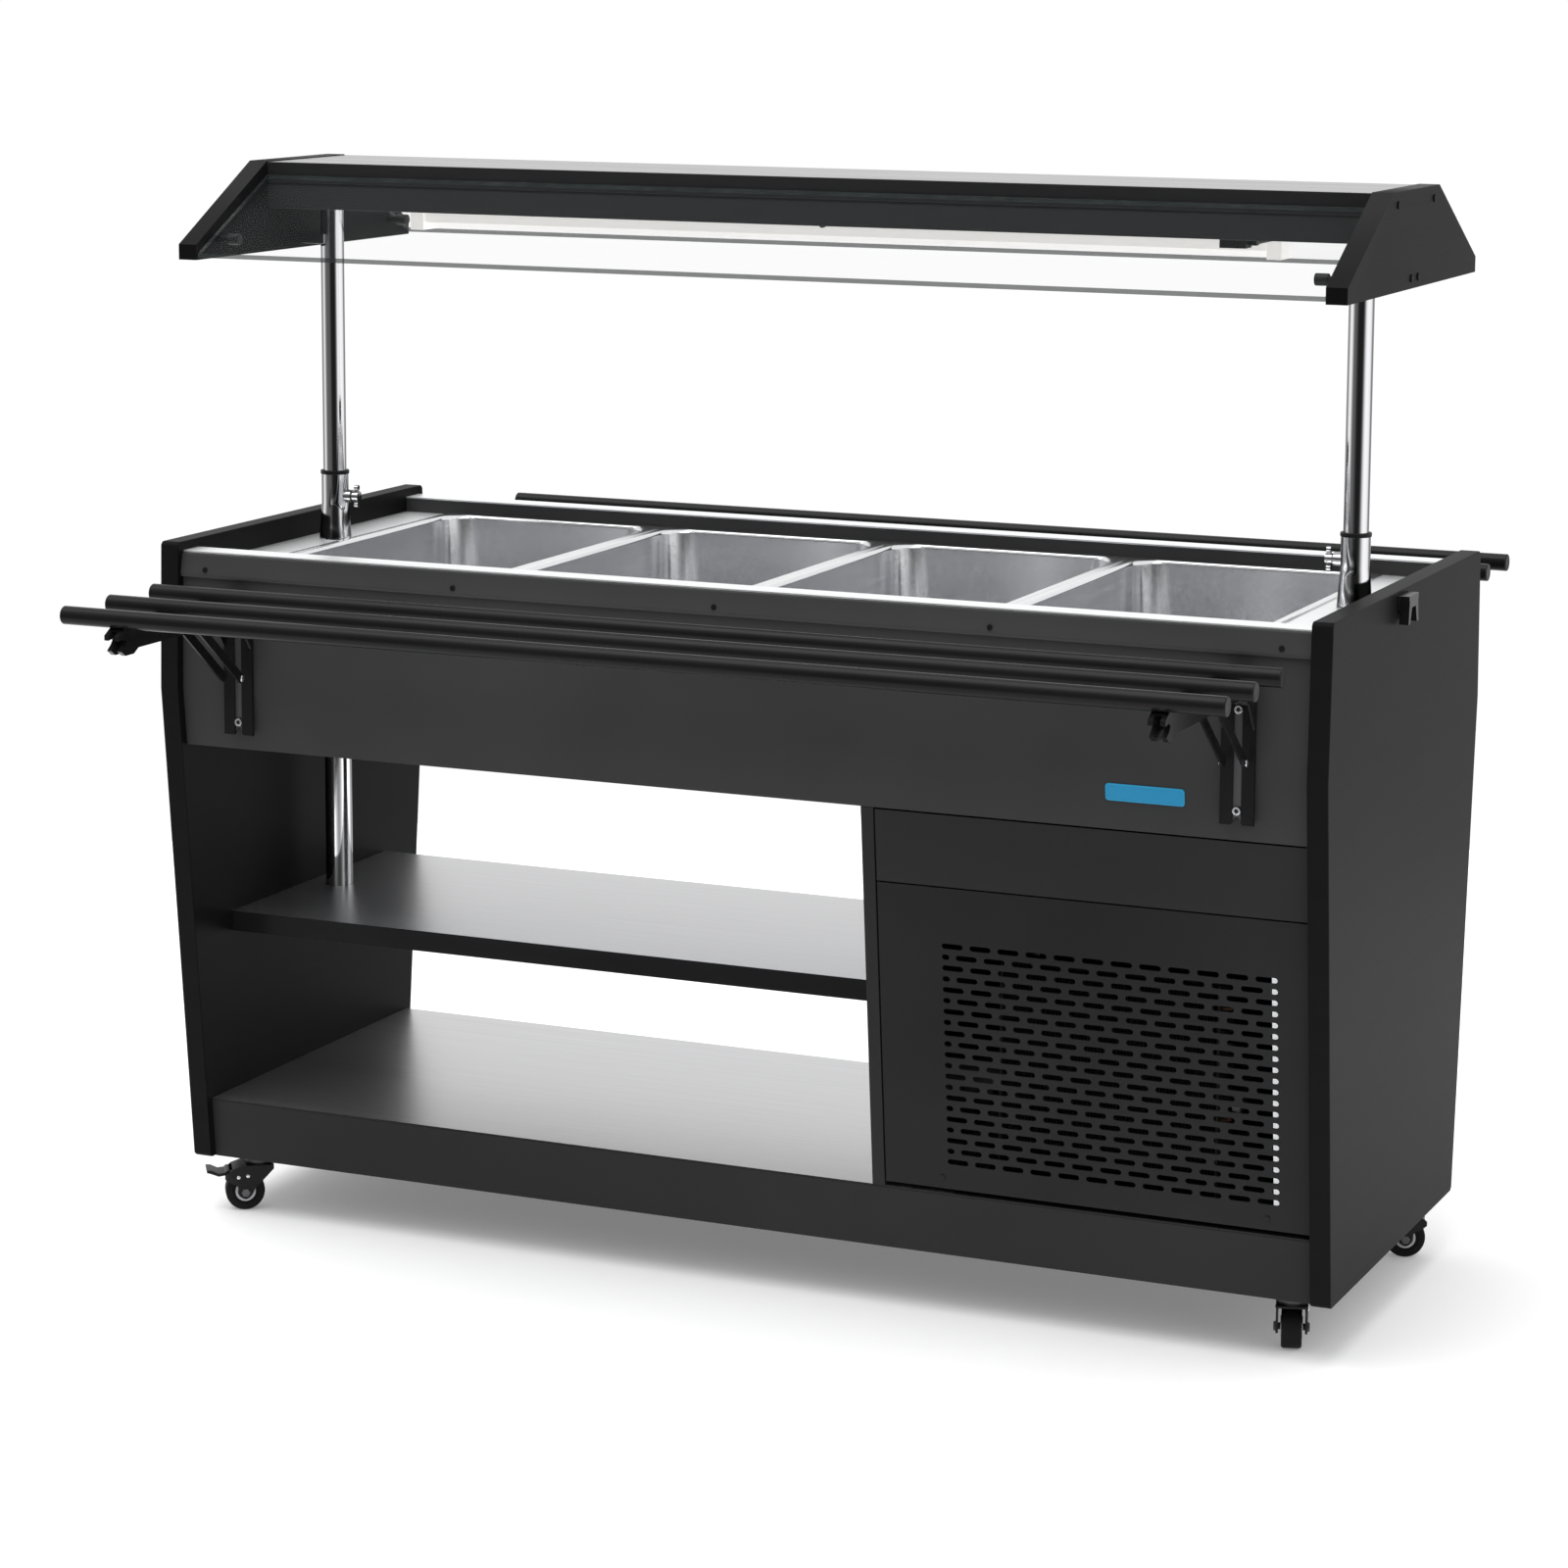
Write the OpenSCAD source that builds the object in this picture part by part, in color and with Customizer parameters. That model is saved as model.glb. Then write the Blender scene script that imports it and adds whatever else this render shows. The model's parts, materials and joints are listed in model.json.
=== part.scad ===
/* [Counter] */
// Overall width across the two end panels
counter_w = 1500; // [1400:10:1600]
// Height of the end panels' top edge above the floor
counter_h = 872; // [860:1:890]
// Thickness of each end panel
panel_t = 25; // [18:1:30]
// Depth of an end panel at its top edge
top_d = 628; // [620:2:640]
// Depth of an end panel at its widest line
kink_d = 640; // [636:2:660]
// Depth of an end panel at its foot
foot_d = 520; // [500:2:560]
// Height of the widest line above the floor
kink_z = 690; // [670:5:700]
// Height of the cabinet's underside above the floor
foot_z = 75; // [75:1:75]

/* [Worktop] */
// Drop from the end panels' top edge to the worktop deck
deck_drop = 31; // [28:1:36]
// Drop from the end panels' top edge to the raised front and rear strips
strip_drop = 11; // [8:1:14]
// Half depth of the deck between the raised strips
deck_half_d = 267; // [266:1:270]

/* [Pans] */
// Length of a gastronorm 1/1 pan, front to back
pan_l = 530; // [530:1:530]
// Width of a gastronorm 1/1 pan
pan_w = 325; // [325:1:325]
// Depth of a pan
pan_depth = 150; // [100:50:150]
// Gap between neighbouring pan rims
pan_gap = 0.5; // [0.5:0.5:1]
// Sideways offset of the row of pans
pan_shift = -8; // [-8:1:0]

/* [Canopy] */
// Distance of each post from the middle of the counter
post_x = 682; // [682:1:686]
// Diameter of the sliding upper posts
post_d = 30; // [28:1:30]
// Height of the canopy's top edge
canopy_h = 1331; // [1300:1:1400]
// Distance of a canopy end plate's outer face from the middle
canopy_half_w = 744; // [740:1:750]
// Half depth of a canopy end plate at its lower edge
canopy_half_d = 270; // [250:5:290]
// Half depth of a canopy end plate at its top edge, and of the beam
beam_half_d = 98; // [90:2:110]

/* [Tray slides] */
// Length of each tray rail
rail_l = 1430; // [1400:10:1440]
// Diameter of each tray rail
rail_d = 22; // [20:1:24]
// Distance of each bracket from the middle of the counter
bracket_x = 643; // [630:1:650]
// How far the outer rail stands out from the centre line
outer_rail_y = 580; // [560:5:600]
// Spacing of the three rails
rail_pitch = 97; // [90:1:100]

/* [Cabinet] */
// Height of the open shelf's top face
shelf_z = 384; // [350:2:400]
// Half depth of the open shelf
shelf_half_d = 199; // [180:1:210]
// Left face of the upright between storage bay and machine compartment
divider_x = 184; // [150:1:200]
// Lower edge of the front and rear aprons
apron_z = 617; // [600:1:640]

/* [Casters] */
// Wheel diameter
wheel_d = 50; // [50:1:50]
// Distance of each swivel axis from the middle, sideways
caster_x = 688; // [660:1:688]
// Distance of each swivel axis from the middle, front to back
caster_y = 205; // [190:1:210]
// How far a wheel's axle trails behind its swivel axis
caster_trail = 18; // [16:1:20]

/* [Hidden] */
// Every node of this assembly
$fn = 48;
eps = 0.01;

// Colours
black_satin = [0.055, 0.055, 0.06];
black_plain = [0.03, 0.03, 0.03];
steel = [0.72, 0.73, 0.75];
chrome = [0.82, 0.83, 0.85];
copper = [0.72, 0.42, 0.27];
foam_grey = [0.55, 0.56, 0.58];
clear_glass = [0.8, 0.9, 0.92, 0.35];
lamp_white = [0.96, 0.96, 0.94];

// Cabinet levels and outlines
half_w = counter_w / 2;
inner_x = half_w - panel_t;
deck_z = counter_h - deck_drop;
strip_z = counter_h - strip_drop;
strip_t = 2;
sheet_t = 2;
deck_t = 2;
skin_inset = 12;
floor_z = 152;
seam = 0.2;

// Half depth of the end panel's outline at height z
function outline_y(z) = z < kink_z
    ? foot_d / 2 + (kink_d - foot_d) / 2 * (z - foot_z) / (kink_z - foot_z)
    : kink_d / 2 - (kink_d - top_d) / 2 * (z - kink_z) / (counter_h - kink_z);
// Half depth of the outer skins at height z
function skin_y(z) = outline_y(z) - skin_inset;
lean = atan((kink_d - foot_d) / 2 / (kink_z - foot_z));

// Storage and machine compartment
divider_t = 16;
bay_x = divider_x + divider_t;
panel_gap = 2;
infill_x0 = bay_x + panel_gap;
infill_x1 = inner_x - panel_gap;
infill_z0 = 529;
infill_z1 = apron_z - panel_gap;
grille_z0 = floor_z + 6;
grille_z1 = infill_z0 - panel_gap;
shelf_t = 26;

// Fascia
fascia_y = 309.5;
fascia_z = 834;
fascia_lean = atan((fascia_y - 305) / (strip_z - strip_t - 3 - fascia_z));

// Well
well_wall = 1.5;
pan_pitch = pan_w + pan_gap;
row_w = 4 * pan_pitch - pan_gap;
rim_lap = 12;
opening_w = row_w - 2 * rim_lap;
opening_d = pan_l - 2 * rim_lap;
tank_w = opening_w + 2 * well_wall;
tank_d = opening_d + 2 * well_wall;
tank_drop = 185;
tank_top = deck_z - deck_t;
tank_z = tank_top - tank_drop;
casing_t = 1.2;
casing_half_w = 658;
casing_half_d = 284;
casing_z = tank_z - 16;
drain_x = 300;
drain_y = 140;
drain_r = 11;
hose_gap = 15;
valve_z = 590;

// Posts
sleeve_r = post_d / 2 + 2.5;
sleeve_bore_r = post_d / 2 + 0.05;
sleeve_top = 925;
ring_h = 5;
post_bottom = 600;
post_wall = 1.5;
post_play = 0.3;
knob_z = 897;
knob_shaft_r = 4;
boss_l = 8;

// Canopy
plate_t = 25;
plate_in = canopy_half_w - plate_t;
plate_z = canopy_h - 114;
plate_clip_z = canopy_h - 95;
beam_z = canopy_h - 59;
beam_top = canopy_h - 1;
beam_wall = 2.5;
glass_t = 5;
glass_low_z = plate_z + 3;
glass_slope = 27.7;
glass_knob_y = 214;
glass_knob_z = plate_z + 23;

// Tray slides
arm_pivot_y = 327;
arm_pivot_z = 796;
arm_h = 26;
arm_w = 20;
arm_end_y = 586;
pin_r = 4;
pin_play = 0.05;
brace_pin_r = 3;
brace_pin_y = 432;
brace_drop = 85;
brace_angle = atan(brace_drop / (brace_pin_y - arm_pivot_y));
brace_l = (brace_pin_y - arm_pivot_y) / cos(brace_angle);
brace_in = 11;
brace_t = 3;
brace_h = 12;
channel_w = 40;
channel_y = 308.3;
web_t = 2.5;
channel_z0 = 637;
channel_z1 = 812;

// Casters
wheel_w = 25;
wheel_r = wheel_d / 2;
axle_r = 4;
fork_gap = 3;
cheek_t = 3;
pedal_x = 40;
pedal_z = 50;
pedal_pin_r = 1.5;
plate_size = 60;
swivel_r = 5;

// Grille pattern
slot_w = 26;
slot_h = 6.5;
slot_pitch_x = 34.5;
slot_pitch_z = 13.25;
slot_rows = 21;
rear_first_row = 8;
slot_cols = 12;
slot_x0 = 281;
slot_z0 = 192;
short_slot = 9;

// ---- General shapes ----

// A box between two corners
module block(lo, hi) {
    translate(lo) cube(hi - lo);
}

// A (Y, Z) outline pulled along X from x0 to x1
module along_x(x0, x1) {
    translate([x0, 0, 0]) rotate([90, 0, 90]) linear_extrude(x1 - x0) children();
}

// An (X, Z) outline pulled along Y from y0 to y1
module along_y(y0, y1) {
    translate([0, y1, 0]) rotate([90, 0, 0]) linear_extrude(y1 - y0) children();
}

// A cylinder along X, Y or Z between two positions on that axis
module rod_x(x0, x1, y, z, r) {
    translate([x0, y, z]) rotate([0, 90, 0]) cylinder(h = x1 - x0, r = r);
}
module rod_y(y0, y1, x, z, r) {
    translate([x, y0, z]) rotate([-90, 0, 0]) cylinder(h = y1 - y0, r = r);
}
module rod_z(z0, z1, x, y, r) {
    translate([x, y, z0]) cylinder(h = z1 - z0, r = r);
}

// The children and their mirror image at the other end or the other side
module both_ends() {
    children();
    mirror([1, 0, 0]) children();
}
module both_sides() {
    children();
    mirror([0, 1, 0]) children();
}

// A rectangle with round corners
module round_rect(w, d, r) {
    square([w - 2 * r, d], center = true);
    square([w, d - 2 * r], center = true);
    for (sx = [-1, 1], sy = [-1, 1]) translate([sx * (w / 2 - r), sy * (d / 2 - r)]) circle(r);
}

// The sheet that follows the front taper between two heights, as a (Y, Z) outline on the rear side
module skin_outline(z0, z1, t) {
    outer = z0 < kink_z && z1 > kink_z ? [z0, kink_z, z1] : [z0, z1];
    inner = z0 < kink_z && z1 > kink_z ? [z1, kink_z, z0] : [z1, z0];
    polygon([for (z = outer) [skin_y(z), z], for (z = inner) [skin_y(z) - t, z]]);
}

// Places children on the leaning front skin at (x, z), with their +Z pointing out of it
module on_front(x, z) {
    translate([x, -skin_y(z), z]) rotate([90 + lean, 0, 0]) children();
}

// ---- Cabinet ----

// The outline of an end panel with its corners just broken
module end_panel_outline() {
    c = 4;
    slope = (kink_d - foot_d) / 2 / (kink_z - foot_z);
    half = [
        [foot_d / 2 - c, foot_z], [foot_d / 2 + c * slope, foot_z + c],
        [kink_d / 2, kink_z], [top_d / 2, counter_h - c], [top_d / 2 - c, counter_h]
    ];
    polygon([for (p = half) p, for (i = [len(half) - 1:-1:0]) [-half[i][0], half[i][1]]]);
}

module left_end_panel() {
    color(black_satin) along_x(-half_w, -inner_x) end_panel_outline();
}

module right_end_panel() {
    color(black_satin) along_x(inner_x, half_w) end_panel_outline();
}

// One sheet of the bottom shelf
module floor_sheet(x0, y0, x1, y1) {
    block([x0, y0, floor_z - sheet_t], [x1, y1, floor_z]);
}

// Bottom shelf in four sheets round the drain hose, front and rear plinths, and two caster beams
module base_tray() {
    floor_half_d = skin_y(floor_z) - 1;
    strip_x0 = drain_x - hose_gap + seam;
    strip_x1 = drain_x + hose_gap - seam;
    beam_w = 74;
    beam_half_l = 236;
    beam_top = floor_z - sheet_t - seam;
    color(black_satin) {
        floor_sheet(-inner_x, -floor_half_d, drain_x - hose_gap, floor_half_d);
        floor_sheet(drain_x + hose_gap, -floor_half_d, inner_x, floor_half_d);
        floor_sheet(strip_x0, -floor_half_d, strip_x1, drain_y - hose_gap);
        floor_sheet(strip_x0, drain_y + hose_gap, strip_x1, floor_half_d);
        both_sides() along_x(-inner_x, inner_x) union() {
            skin_outline(foot_z, floor_z - sheet_t - seam, sheet_t);
            translate([242, foot_z]) square([skin_y(foot_z) - 243, sheet_t]);
        }
        both_ends() difference() {
            block([inner_x - beam_w, -beam_half_l, foot_z], [inner_x, beam_half_l, beam_top]);
            block(
                [inner_x - beam_w + sheet_t, -beam_half_l - 1, foot_z + sheet_t],
                [inner_x - sheet_t, beam_half_l + 1, beam_top - sheet_t]
            );
            for (sx = [-1, 1], sy = [-1, 1], y = [-caster_y, caster_y])
                rod_z(foot_z - 1, foot_z + sheet_t + 1, caster_x + sx * 22, y + sy * 22, 3.3);
        }
    }
}

// Open shelf with turned-down front and rear edges, and a hole for the left post's foot
module mid_shelf() {
    lip = 15;
    t = 2;
    color(black_satin) difference() {
        along_x(-inner_x, divider_x) union() {
            translate([-shelf_half_d, shelf_z - t]) square([2 * shelf_half_d, t]);
            for (s = [-1, 1]) {
                translate([s * (shelf_half_d - t / 2) - t / 2, shelf_z - shelf_t]) square([t, shelf_t]);
                translate([s * (shelf_half_d - lip / 2) - lip / 2, shelf_z - shelf_t]) square([lip, t]);
            }
        }
        rod_z(shelf_z - t - 1, shelf_z + 1, -post_x, 0, sleeve_r + post_play);
    }
}

module divider_panel() {
    color(black_satin) along_x(divider_x, bay_x)
        polygon([
            [-skin_y(floor_z), floor_z], [skin_y(floor_z), floor_z],
            [skin_y(apron_z), apron_z], [casing_half_d, apron_z],
            [casing_half_d, casing_z], [-casing_half_d, casing_z],
            [-casing_half_d, apron_z], [-skin_y(apron_z), apron_z]
        ]);
}

// Front and rear panels that hide the well, each with a turned-in lower edge
module aprons() {
    lip = 16;
    color(black_satin) both_sides() union() {
        along_x(-inner_x, inner_x) skin_outline(apron_z, 831, sheet_t);
        block(
            [-inner_x, skin_y(apron_z) - lip, apron_z],
            [inner_x, skin_y(apron_z) - 1, apron_z + sheet_t]
        );
    }
}

// A leaning sheet between two heights, with edges turned in along its four sides
module leaning_sheet(x0, x1, z0, z1) {
    lip = 15;
    mirror([0, 1, 0]) {
        along_x(x0, x1) union() {
            skin_outline(z0, z1, sheet_t);
            skin_outline(z0, z0 + sheet_t, lip);
            skin_outline(z1 - sheet_t, z1, lip);
        }
        for (x = [x0, x1 - sheet_t]) along_x(x, x + sheet_t) skin_outline(z0, z1, lip);
    }
}

module infill_panel() {
    color(black_satin) leaning_sheet(infill_x0, infill_x1, infill_z0, infill_z1);
}

// One ventilation slot with broken corners, centred on its middle
module slot_outline(w, h) {
    c = h * 0.3;
    polygon([
        [-w / 2 + c, -h / 2], [w / 2 - c, -h / 2], [w / 2, -h / 2 + c], [w / 2, h / 2 - c],
        [w / 2 - c, h / 2], [-w / 2 + c, h / 2], [-w / 2, h / 2 - c], [-w / 2, -h / 2 + c]
    ]);
}

// The staggered field of slots; every other row starts and ends with a short slot
module slot_field(first_row) {
    for (row = [first_row:slot_rows - 1]) {
        z = slot_z0 + row * slot_pitch_z;
        long_first = row % 2 == 0;
        start = slot_x0 + (long_first ? 0 : slot_pitch_x / 2);
        for (col = [0:slot_cols - 2 + (long_first ? 1 : 0)])
            translate([start + col * slot_pitch_x + slot_w / 2, z]) slot_outline(slot_w, slot_h);
        if (!long_first) translate([slot_x0 + short_slot / 2, z]) slot_outline(short_slot, slot_h);
        if (!long_first)
            translate([slot_x0 + slot_cols * slot_pitch_x - slot_pitch_x / 2 + short_slot / 2, z])
                slot_outline(short_slot, slot_h);
    }
}

// A perforated sheet that leans with the front
module leaning_vent(x0, x1, z0, z1, first_row) {
    difference() {
        leaning_sheet(x0, x1, z0, z1);
        along_y(-330, -200) slot_field(first_row);
    }
}

module vent_grille() {
    color(black_satin) leaning_vent(infill_x0, infill_x1, grille_z0, grille_z1, 0);
}

// Rear cover of the machine compartment, with vents, a control cut-out and a cable gland hole
module rear_panel() {
    color(black_satin) mirror([0, 1, 0]) difference() {
        leaning_vent(infill_x0, infill_x1, grille_z0, infill_z1, rear_first_row);
        mirror([0, 1, 0]) on_rear(control_z)
            block([control_x0 - 1, -20, -control_half_h - 1], [control_x1 + 1, 20, control_half_h + 1]);
        on_front(inlet_x, inlet_z) cylinder(h = 30, r = inlet_r + pin_play, center = true);
    }
}

// Moulded edge that closes the front and the rear of the worktop
module fascias() {
    top = strip_z - strip_t;
    color(black_satin) both_sides() along_x(-inner_x, inner_x)
        polygon([
            [deck_half_d, top], [302, top], [305, top - 3], [fascia_y, fascia_z], [308, 829], [305, 829],
            [300.5, top - 6], [299, top - 4], [deck_half_d + 3, top - 4], [deck_half_d + 3, deck_z],
            [deck_half_d, deck_z]
        ]);
}

// ---- Worktop and well ----

// Steel deck of four sheets round the well opening, and the raised strips at front and rear
module worktop() {
    deck_y = 298;
    strip_y = 302;
    color(steel) {
        both_sides() block([-inner_x, opening_d / 2, deck_z - deck_t], [inner_x, deck_y, deck_z]);
        difference() {
            block(
                [-inner_x, -opening_d / 2 + seam, deck_z - deck_t],
                [inner_x, opening_d / 2 - seam, deck_z]
            );
            block(
                [pan_shift - opening_w / 2, -opening_d / 2, deck_z - deck_t - 1],
                [pan_shift + opening_w / 2, opening_d / 2, deck_z + 1]
            );
            both_ends() rod_z(deck_z - deck_t - 1, deck_z + 1, post_x, 0, sleeve_r + post_play);
        }
        both_sides() block([-inner_x, deck_half_d, strip_z - strip_t], [inner_x, strip_y, strip_z]);
    }
}

// Deep steel tank that the pans hang in
module well_tank() {
    color(steel) translate([pan_shift, 0, 0]) difference() {
        block([-tank_w / 2, -tank_d / 2, tank_z], [tank_w / 2, tank_d / 2, tank_top]);
        block(
            [-opening_w / 2, -opening_d / 2, tank_z + well_wall],
            [opening_w / 2, opening_d / 2, tank_top + 1]
        );
        translate([-pan_shift, 0, 0])
            rod_z(tank_z - 1, tank_z + well_wall + 1, drain_x, drain_y, drain_r - 2);
    }
}

// Insulating boards between the tank and its casing, with a square gap for the drain tube
module well_foam() {
    x = casing_half_w - casing_t;
    y = casing_half_d - casing_t;
    z = casing_z + casing_t;
    x0 = pan_shift - tank_w / 2;
    x1 = pan_shift + tank_w / 2;
    y1 = tank_d / 2;
    color("wheat") {
        block([-x, -y, z], [x0, y, tank_top]);
        block([x1, -y, z], [x, y, tank_top]);
        both_sides() block([x0 + seam, y1, z], [x1 - seam, y, tank_top]);
        block([x0 + seam, -y1 + seam, z], [drain_x - drain_r - seam, y1 - seam, tank_z]);
        block([drain_x + drain_r + seam, -y1 + seam, z], [x1 - seam, y1 - seam, tank_z]);
        block([drain_x - drain_r, -y1 + seam, z], [drain_x + drain_r, drain_y - drain_r, tank_z]);
        block([drain_x - drain_r, drain_y + drain_r, z], [drain_x + drain_r, y1 - seam, tank_z]);
    }
}

// Sheet casing under and round the foam
module well_casing() {
    color(foam_grey) difference() {
        block([-casing_half_w, -casing_half_d, casing_z], [casing_half_w, casing_half_d, tank_top]);
        block(
            [-casing_half_w + casing_t, -casing_half_d + casing_t, casing_z + casing_t],
            [casing_half_w - casing_t, casing_half_d - casing_t, tank_top + 1]
        );
        rod_z(casing_z - 1, casing_z + casing_t + 1, drain_x, drain_y, drain_r);
    }
}

// Three cross bars that the pans' side rims share
module pan_bars() {
    bar_w = 20;
    bar_h = 12;
    color(steel) for (i = [-1:1])
        block(
            [pan_shift + i * pan_pitch - bar_w / 2, -opening_d / 2, deck_z - bar_h],
            [pan_shift + i * pan_pitch + bar_w / 2, opening_d / 2, deck_z]
        );
}

// One gastronorm pan with a flat rim
module pan(index) {
    wall = 1;
    rim_t = 2.5;
    body_w = pan_w - 2 * rim_lap - 3;
    body_l = pan_l - 2 * rim_lap - 3;
    corner = 45;
    color(steel) translate([pan_shift + (index - 2.5) * pan_pitch, 0, deck_z + rim_t]) difference() {
        union() {
            translate([0, 0, -rim_t]) linear_extrude(rim_t) round_rect(pan_w, pan_l, 14);
            translate([0, 0, -pan_depth]) linear_extrude(pan_depth - eps)
                round_rect(body_w, body_l, corner);
        }
        translate([0, 0, -pan_depth + wall]) linear_extrude(pan_depth)
            round_rect(body_w - 2 * wall, body_l - 2 * wall, corner - wall);
    }
}

module pan_1() pan(1);
module pan_2() pan(2);
module pan_3() pan(3);
module pan_4() pan(4);

// Serpentine cooling tube on the tank floor
module evaporator_coil() {
    tube_r = 5;
    runs = 8;
    pitch = 56;
    half_l = 560;
    z = tank_z + well_wall + tube_r + 6;
    color(copper) translate([pan_shift, -(runs - 1) * pitch / 2, z]) {
        for (i = [0:runs - 1]) rod_x(-half_l, half_l, i * pitch, 0, tube_r);
        for (i = [0:runs - 2])
            translate([(i % 2 == 0 ? 1 : -1) * half_l, (i + 0.5) * pitch, 0])
                rotate([0, 0, i % 2 == 0 ? -90 : 90])
                    rotate_extrude(angle = 180) translate([pitch / 2, 0]) circle(tube_r);
        for (i = [0, runs - 1])
            rod_z(-6 - tube_r, 0, -half_l + 4, i * pitch, tube_r);
    }
}

// Drain tube with a ball valve, under the well in the machine compartment
module drain_pipe() {
    color(copper) difference() {
        union() {
            rod_z(valve_z - 50, tank_z, drain_x, drain_y, drain_r - eps * 5);
            rod_z(valve_z - 16, valve_z + 16, drain_x, drain_y, 17);
            rod_y(drain_y - 24, drain_y, drain_x, valve_z, 9);
        }
        rod_z(valve_z - 51, tank_z + 1, drain_x, drain_y, drain_r - 2);
        rod_y(drain_y - 25, drain_y - 12, drain_x, valve_z, 3 + pin_play);
    }
}

// The drain valve's quarter-turn lever, shut when it lies across the tube
module drain_lever() {
    y0 = drain_y - 28;
    t = 3.5;
    reach = 40;
    color("firebrick") union() {
        rod_y(y0, drain_y - 12.5, drain_x, valve_z, 3);
        rod_y(y0, y0 + t, drain_x, valve_z, 8);
        block([drain_x, y0, valve_z - 6], [drain_x + reach, y0 + t, valve_z + 6]);
        rod_y(y0, y0 + t, drain_x + reach, valve_z, 6);
    }
}

// ---- Cooling machinery ----

module compressor() {
    cx = 590;
    cy = 130;
    r = 72;
    color(black_plain) union() {
        translate([cx, cy, floor_z + 14]) rotate_extrude()
            polygon([[0, 0], [r - 14, 0], [r, 16], [r, 105], [r - 10, 130], [r - 34, 148], [0, 154]]);
        translate([cx, cy, floor_z + 62]) cylinder(h = 5, r = r + 3);
        block([cx - 85, cy - 60, floor_z + 10], [cx + 85, cy + 60, floor_z + 14]);
        for (sx = [-1, 1], sy = [-1, 1]) rod_z(floor_z, floor_z + 10, cx + sx * 72, cy + sy * 48, 11);
        block([cx - r - 14, cy - 26, floor_z + 55], [cx - r + 8, cy + 26, floor_z + 115]);
        rod_z(floor_z + 160, floor_z + 200, cx + 30, cy, 5);
    }
}

condenser_x0 = 330;
condenser_x1 = 600;
condenser_y0 = -222;
condenser_y1 = -172;
condenser_z1 = floor_z + 276;
fan_x = (condenser_x0 + condenser_x1) / 2;
fan_y = -128;
fan_z = floor_z + 138;
fan_r = 100;
motor_y = fan_y + 19;

// Condenser core between two end plates, with its fan shroud and motor
module condenser() {
    core_y0 = condenser_y0 + 12;
    core_y1 = condenser_y1 - 12;
    end_t = 3;
    duct = fan_r + 5;
    duct_t = 3;
    duct_depth = 31;
    duct_y = condenser_y1 + duct_t;
    color([0.6, 0.61, 0.62]) {
        block(
            [condenser_x0 + end_t + seam, core_y0, floor_z],
            [condenser_x1 - end_t - seam, core_y1, condenser_z1]
        );
        for (x = [condenser_x0, condenser_x1 - end_t])
            block([x, condenser_y0, floor_z], [x + end_t, condenser_y1 - seam, condenser_z1]);
    }
    color(black_plain) {
        block([condenser_x0, condenser_y1, floor_z], [fan_x - duct, duct_y, condenser_z1]);
        block([fan_x + duct, condenser_y1, floor_z], [condenser_x1, duct_y, condenser_z1]);
        for (z = [[floor_z, fan_z - duct], [fan_z + duct, condenser_z1]])
            block([fan_x - duct + seam, condenser_y1, z[0]], [fan_x + duct - seam, duct_y, z[1]]);
        translate([fan_x, duct_y + seam, fan_z]) {
            both_ends() block([duct, 0, -duct], [duct + duct_t, duct_depth, duct]);
            for (z = [-duct - duct_t, duct])
                block([-duct + seam, 0, z], [duct - seam, duct_depth, z + duct_t]);
        }
        difference() {
            union() {
                rod_y(motor_y, motor_y + 50, fan_x, fan_z, 34);
                block([fan_x - 5, motor_y + 22, floor_z], [fan_x + 5, motor_y + 30, fan_z]);
                block([fan_x - 130, motor_y + 22, floor_z], [fan_x + 130, motor_y + 30, floor_z + 6]);
            }
            rod_y(motor_y - 1, motor_y + 19, fan_x, fan_z, 4 + pin_play);
        }
    }
}

// Five-bladed axial fan
module fan_blades() {
    color([0.25, 0.26, 0.28]) translate([fan_x, fan_y, fan_z]) union() {
        rod_y(-10, 10, 0, 0, 22);
        rod_y(9, 36, 0, 0, 4);
        for (k = [0:4]) rotate([0, k * 72, 0]) rotate([0, 0, 26])
            translate([-1.2, -17, 12]) cube([2.4, 34, fan_r - 14]);
    }
}

inlet_x = 560;
inlet_z = 215;
inlet_r = 9;

// Gland where the mains lead enters the rear panel
module power_inlet() {
    color(black_plain) mirror([0, 1, 0]) on_front(inlet_x, inlet_z) difference() {
        union() {
            translate([0, 0, -12]) cylinder(h = 18, r = inlet_r);
            translate([0, 0, eps]) cylinder(h = 6, r = 14, $fn = 6);
            translate([0, 0, 5]) cylinder(h = 12, r1 = 11, r2 = 8);
        }
        translate([0, 0, -13]) cylinder(h = 31, r = 4.5);
    }
}

control_x0 = 400;
control_x1 = 560;
control_z = 555;
control_half_h = 33;
flange = 6;
switch_x = control_x1 - 24;

// Places children on the leaning rear skin at height z, with +Y pointing out of it
module on_rear(z) {
    translate([0, skin_y(z), z]) rotate([-lean, 0, 0]) children();
}

// Controller housing with its faceplate, display window and membrane keys
module control_box() {
    h = control_half_h;
    color(black_plain) on_rear(control_z) difference() {
        union() {
            block([control_x0, -60, -h], [control_x1, eps, h]);
            block([control_x0 - flange, 0, -h - flange], [control_x1 + flange, 3, h + flange]);
        }
        block([switch_x - 12, -18, -16], [switch_x + 12, 4, 16]);
        block([control_x0 + 10, 2, -12], [control_x0 + 62, 4, 12]);
        rod_x(switch_x - 15, switch_x + 15, -6, 0, 2 + pin_play);
    }
    color("slategray") on_rear(control_z) for (i = [0:2])
        block([control_x0 + 70 + i * 16, 3 - eps, -5], [control_x0 + 82 + i * 16, 3.6, 5]);
}

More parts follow.
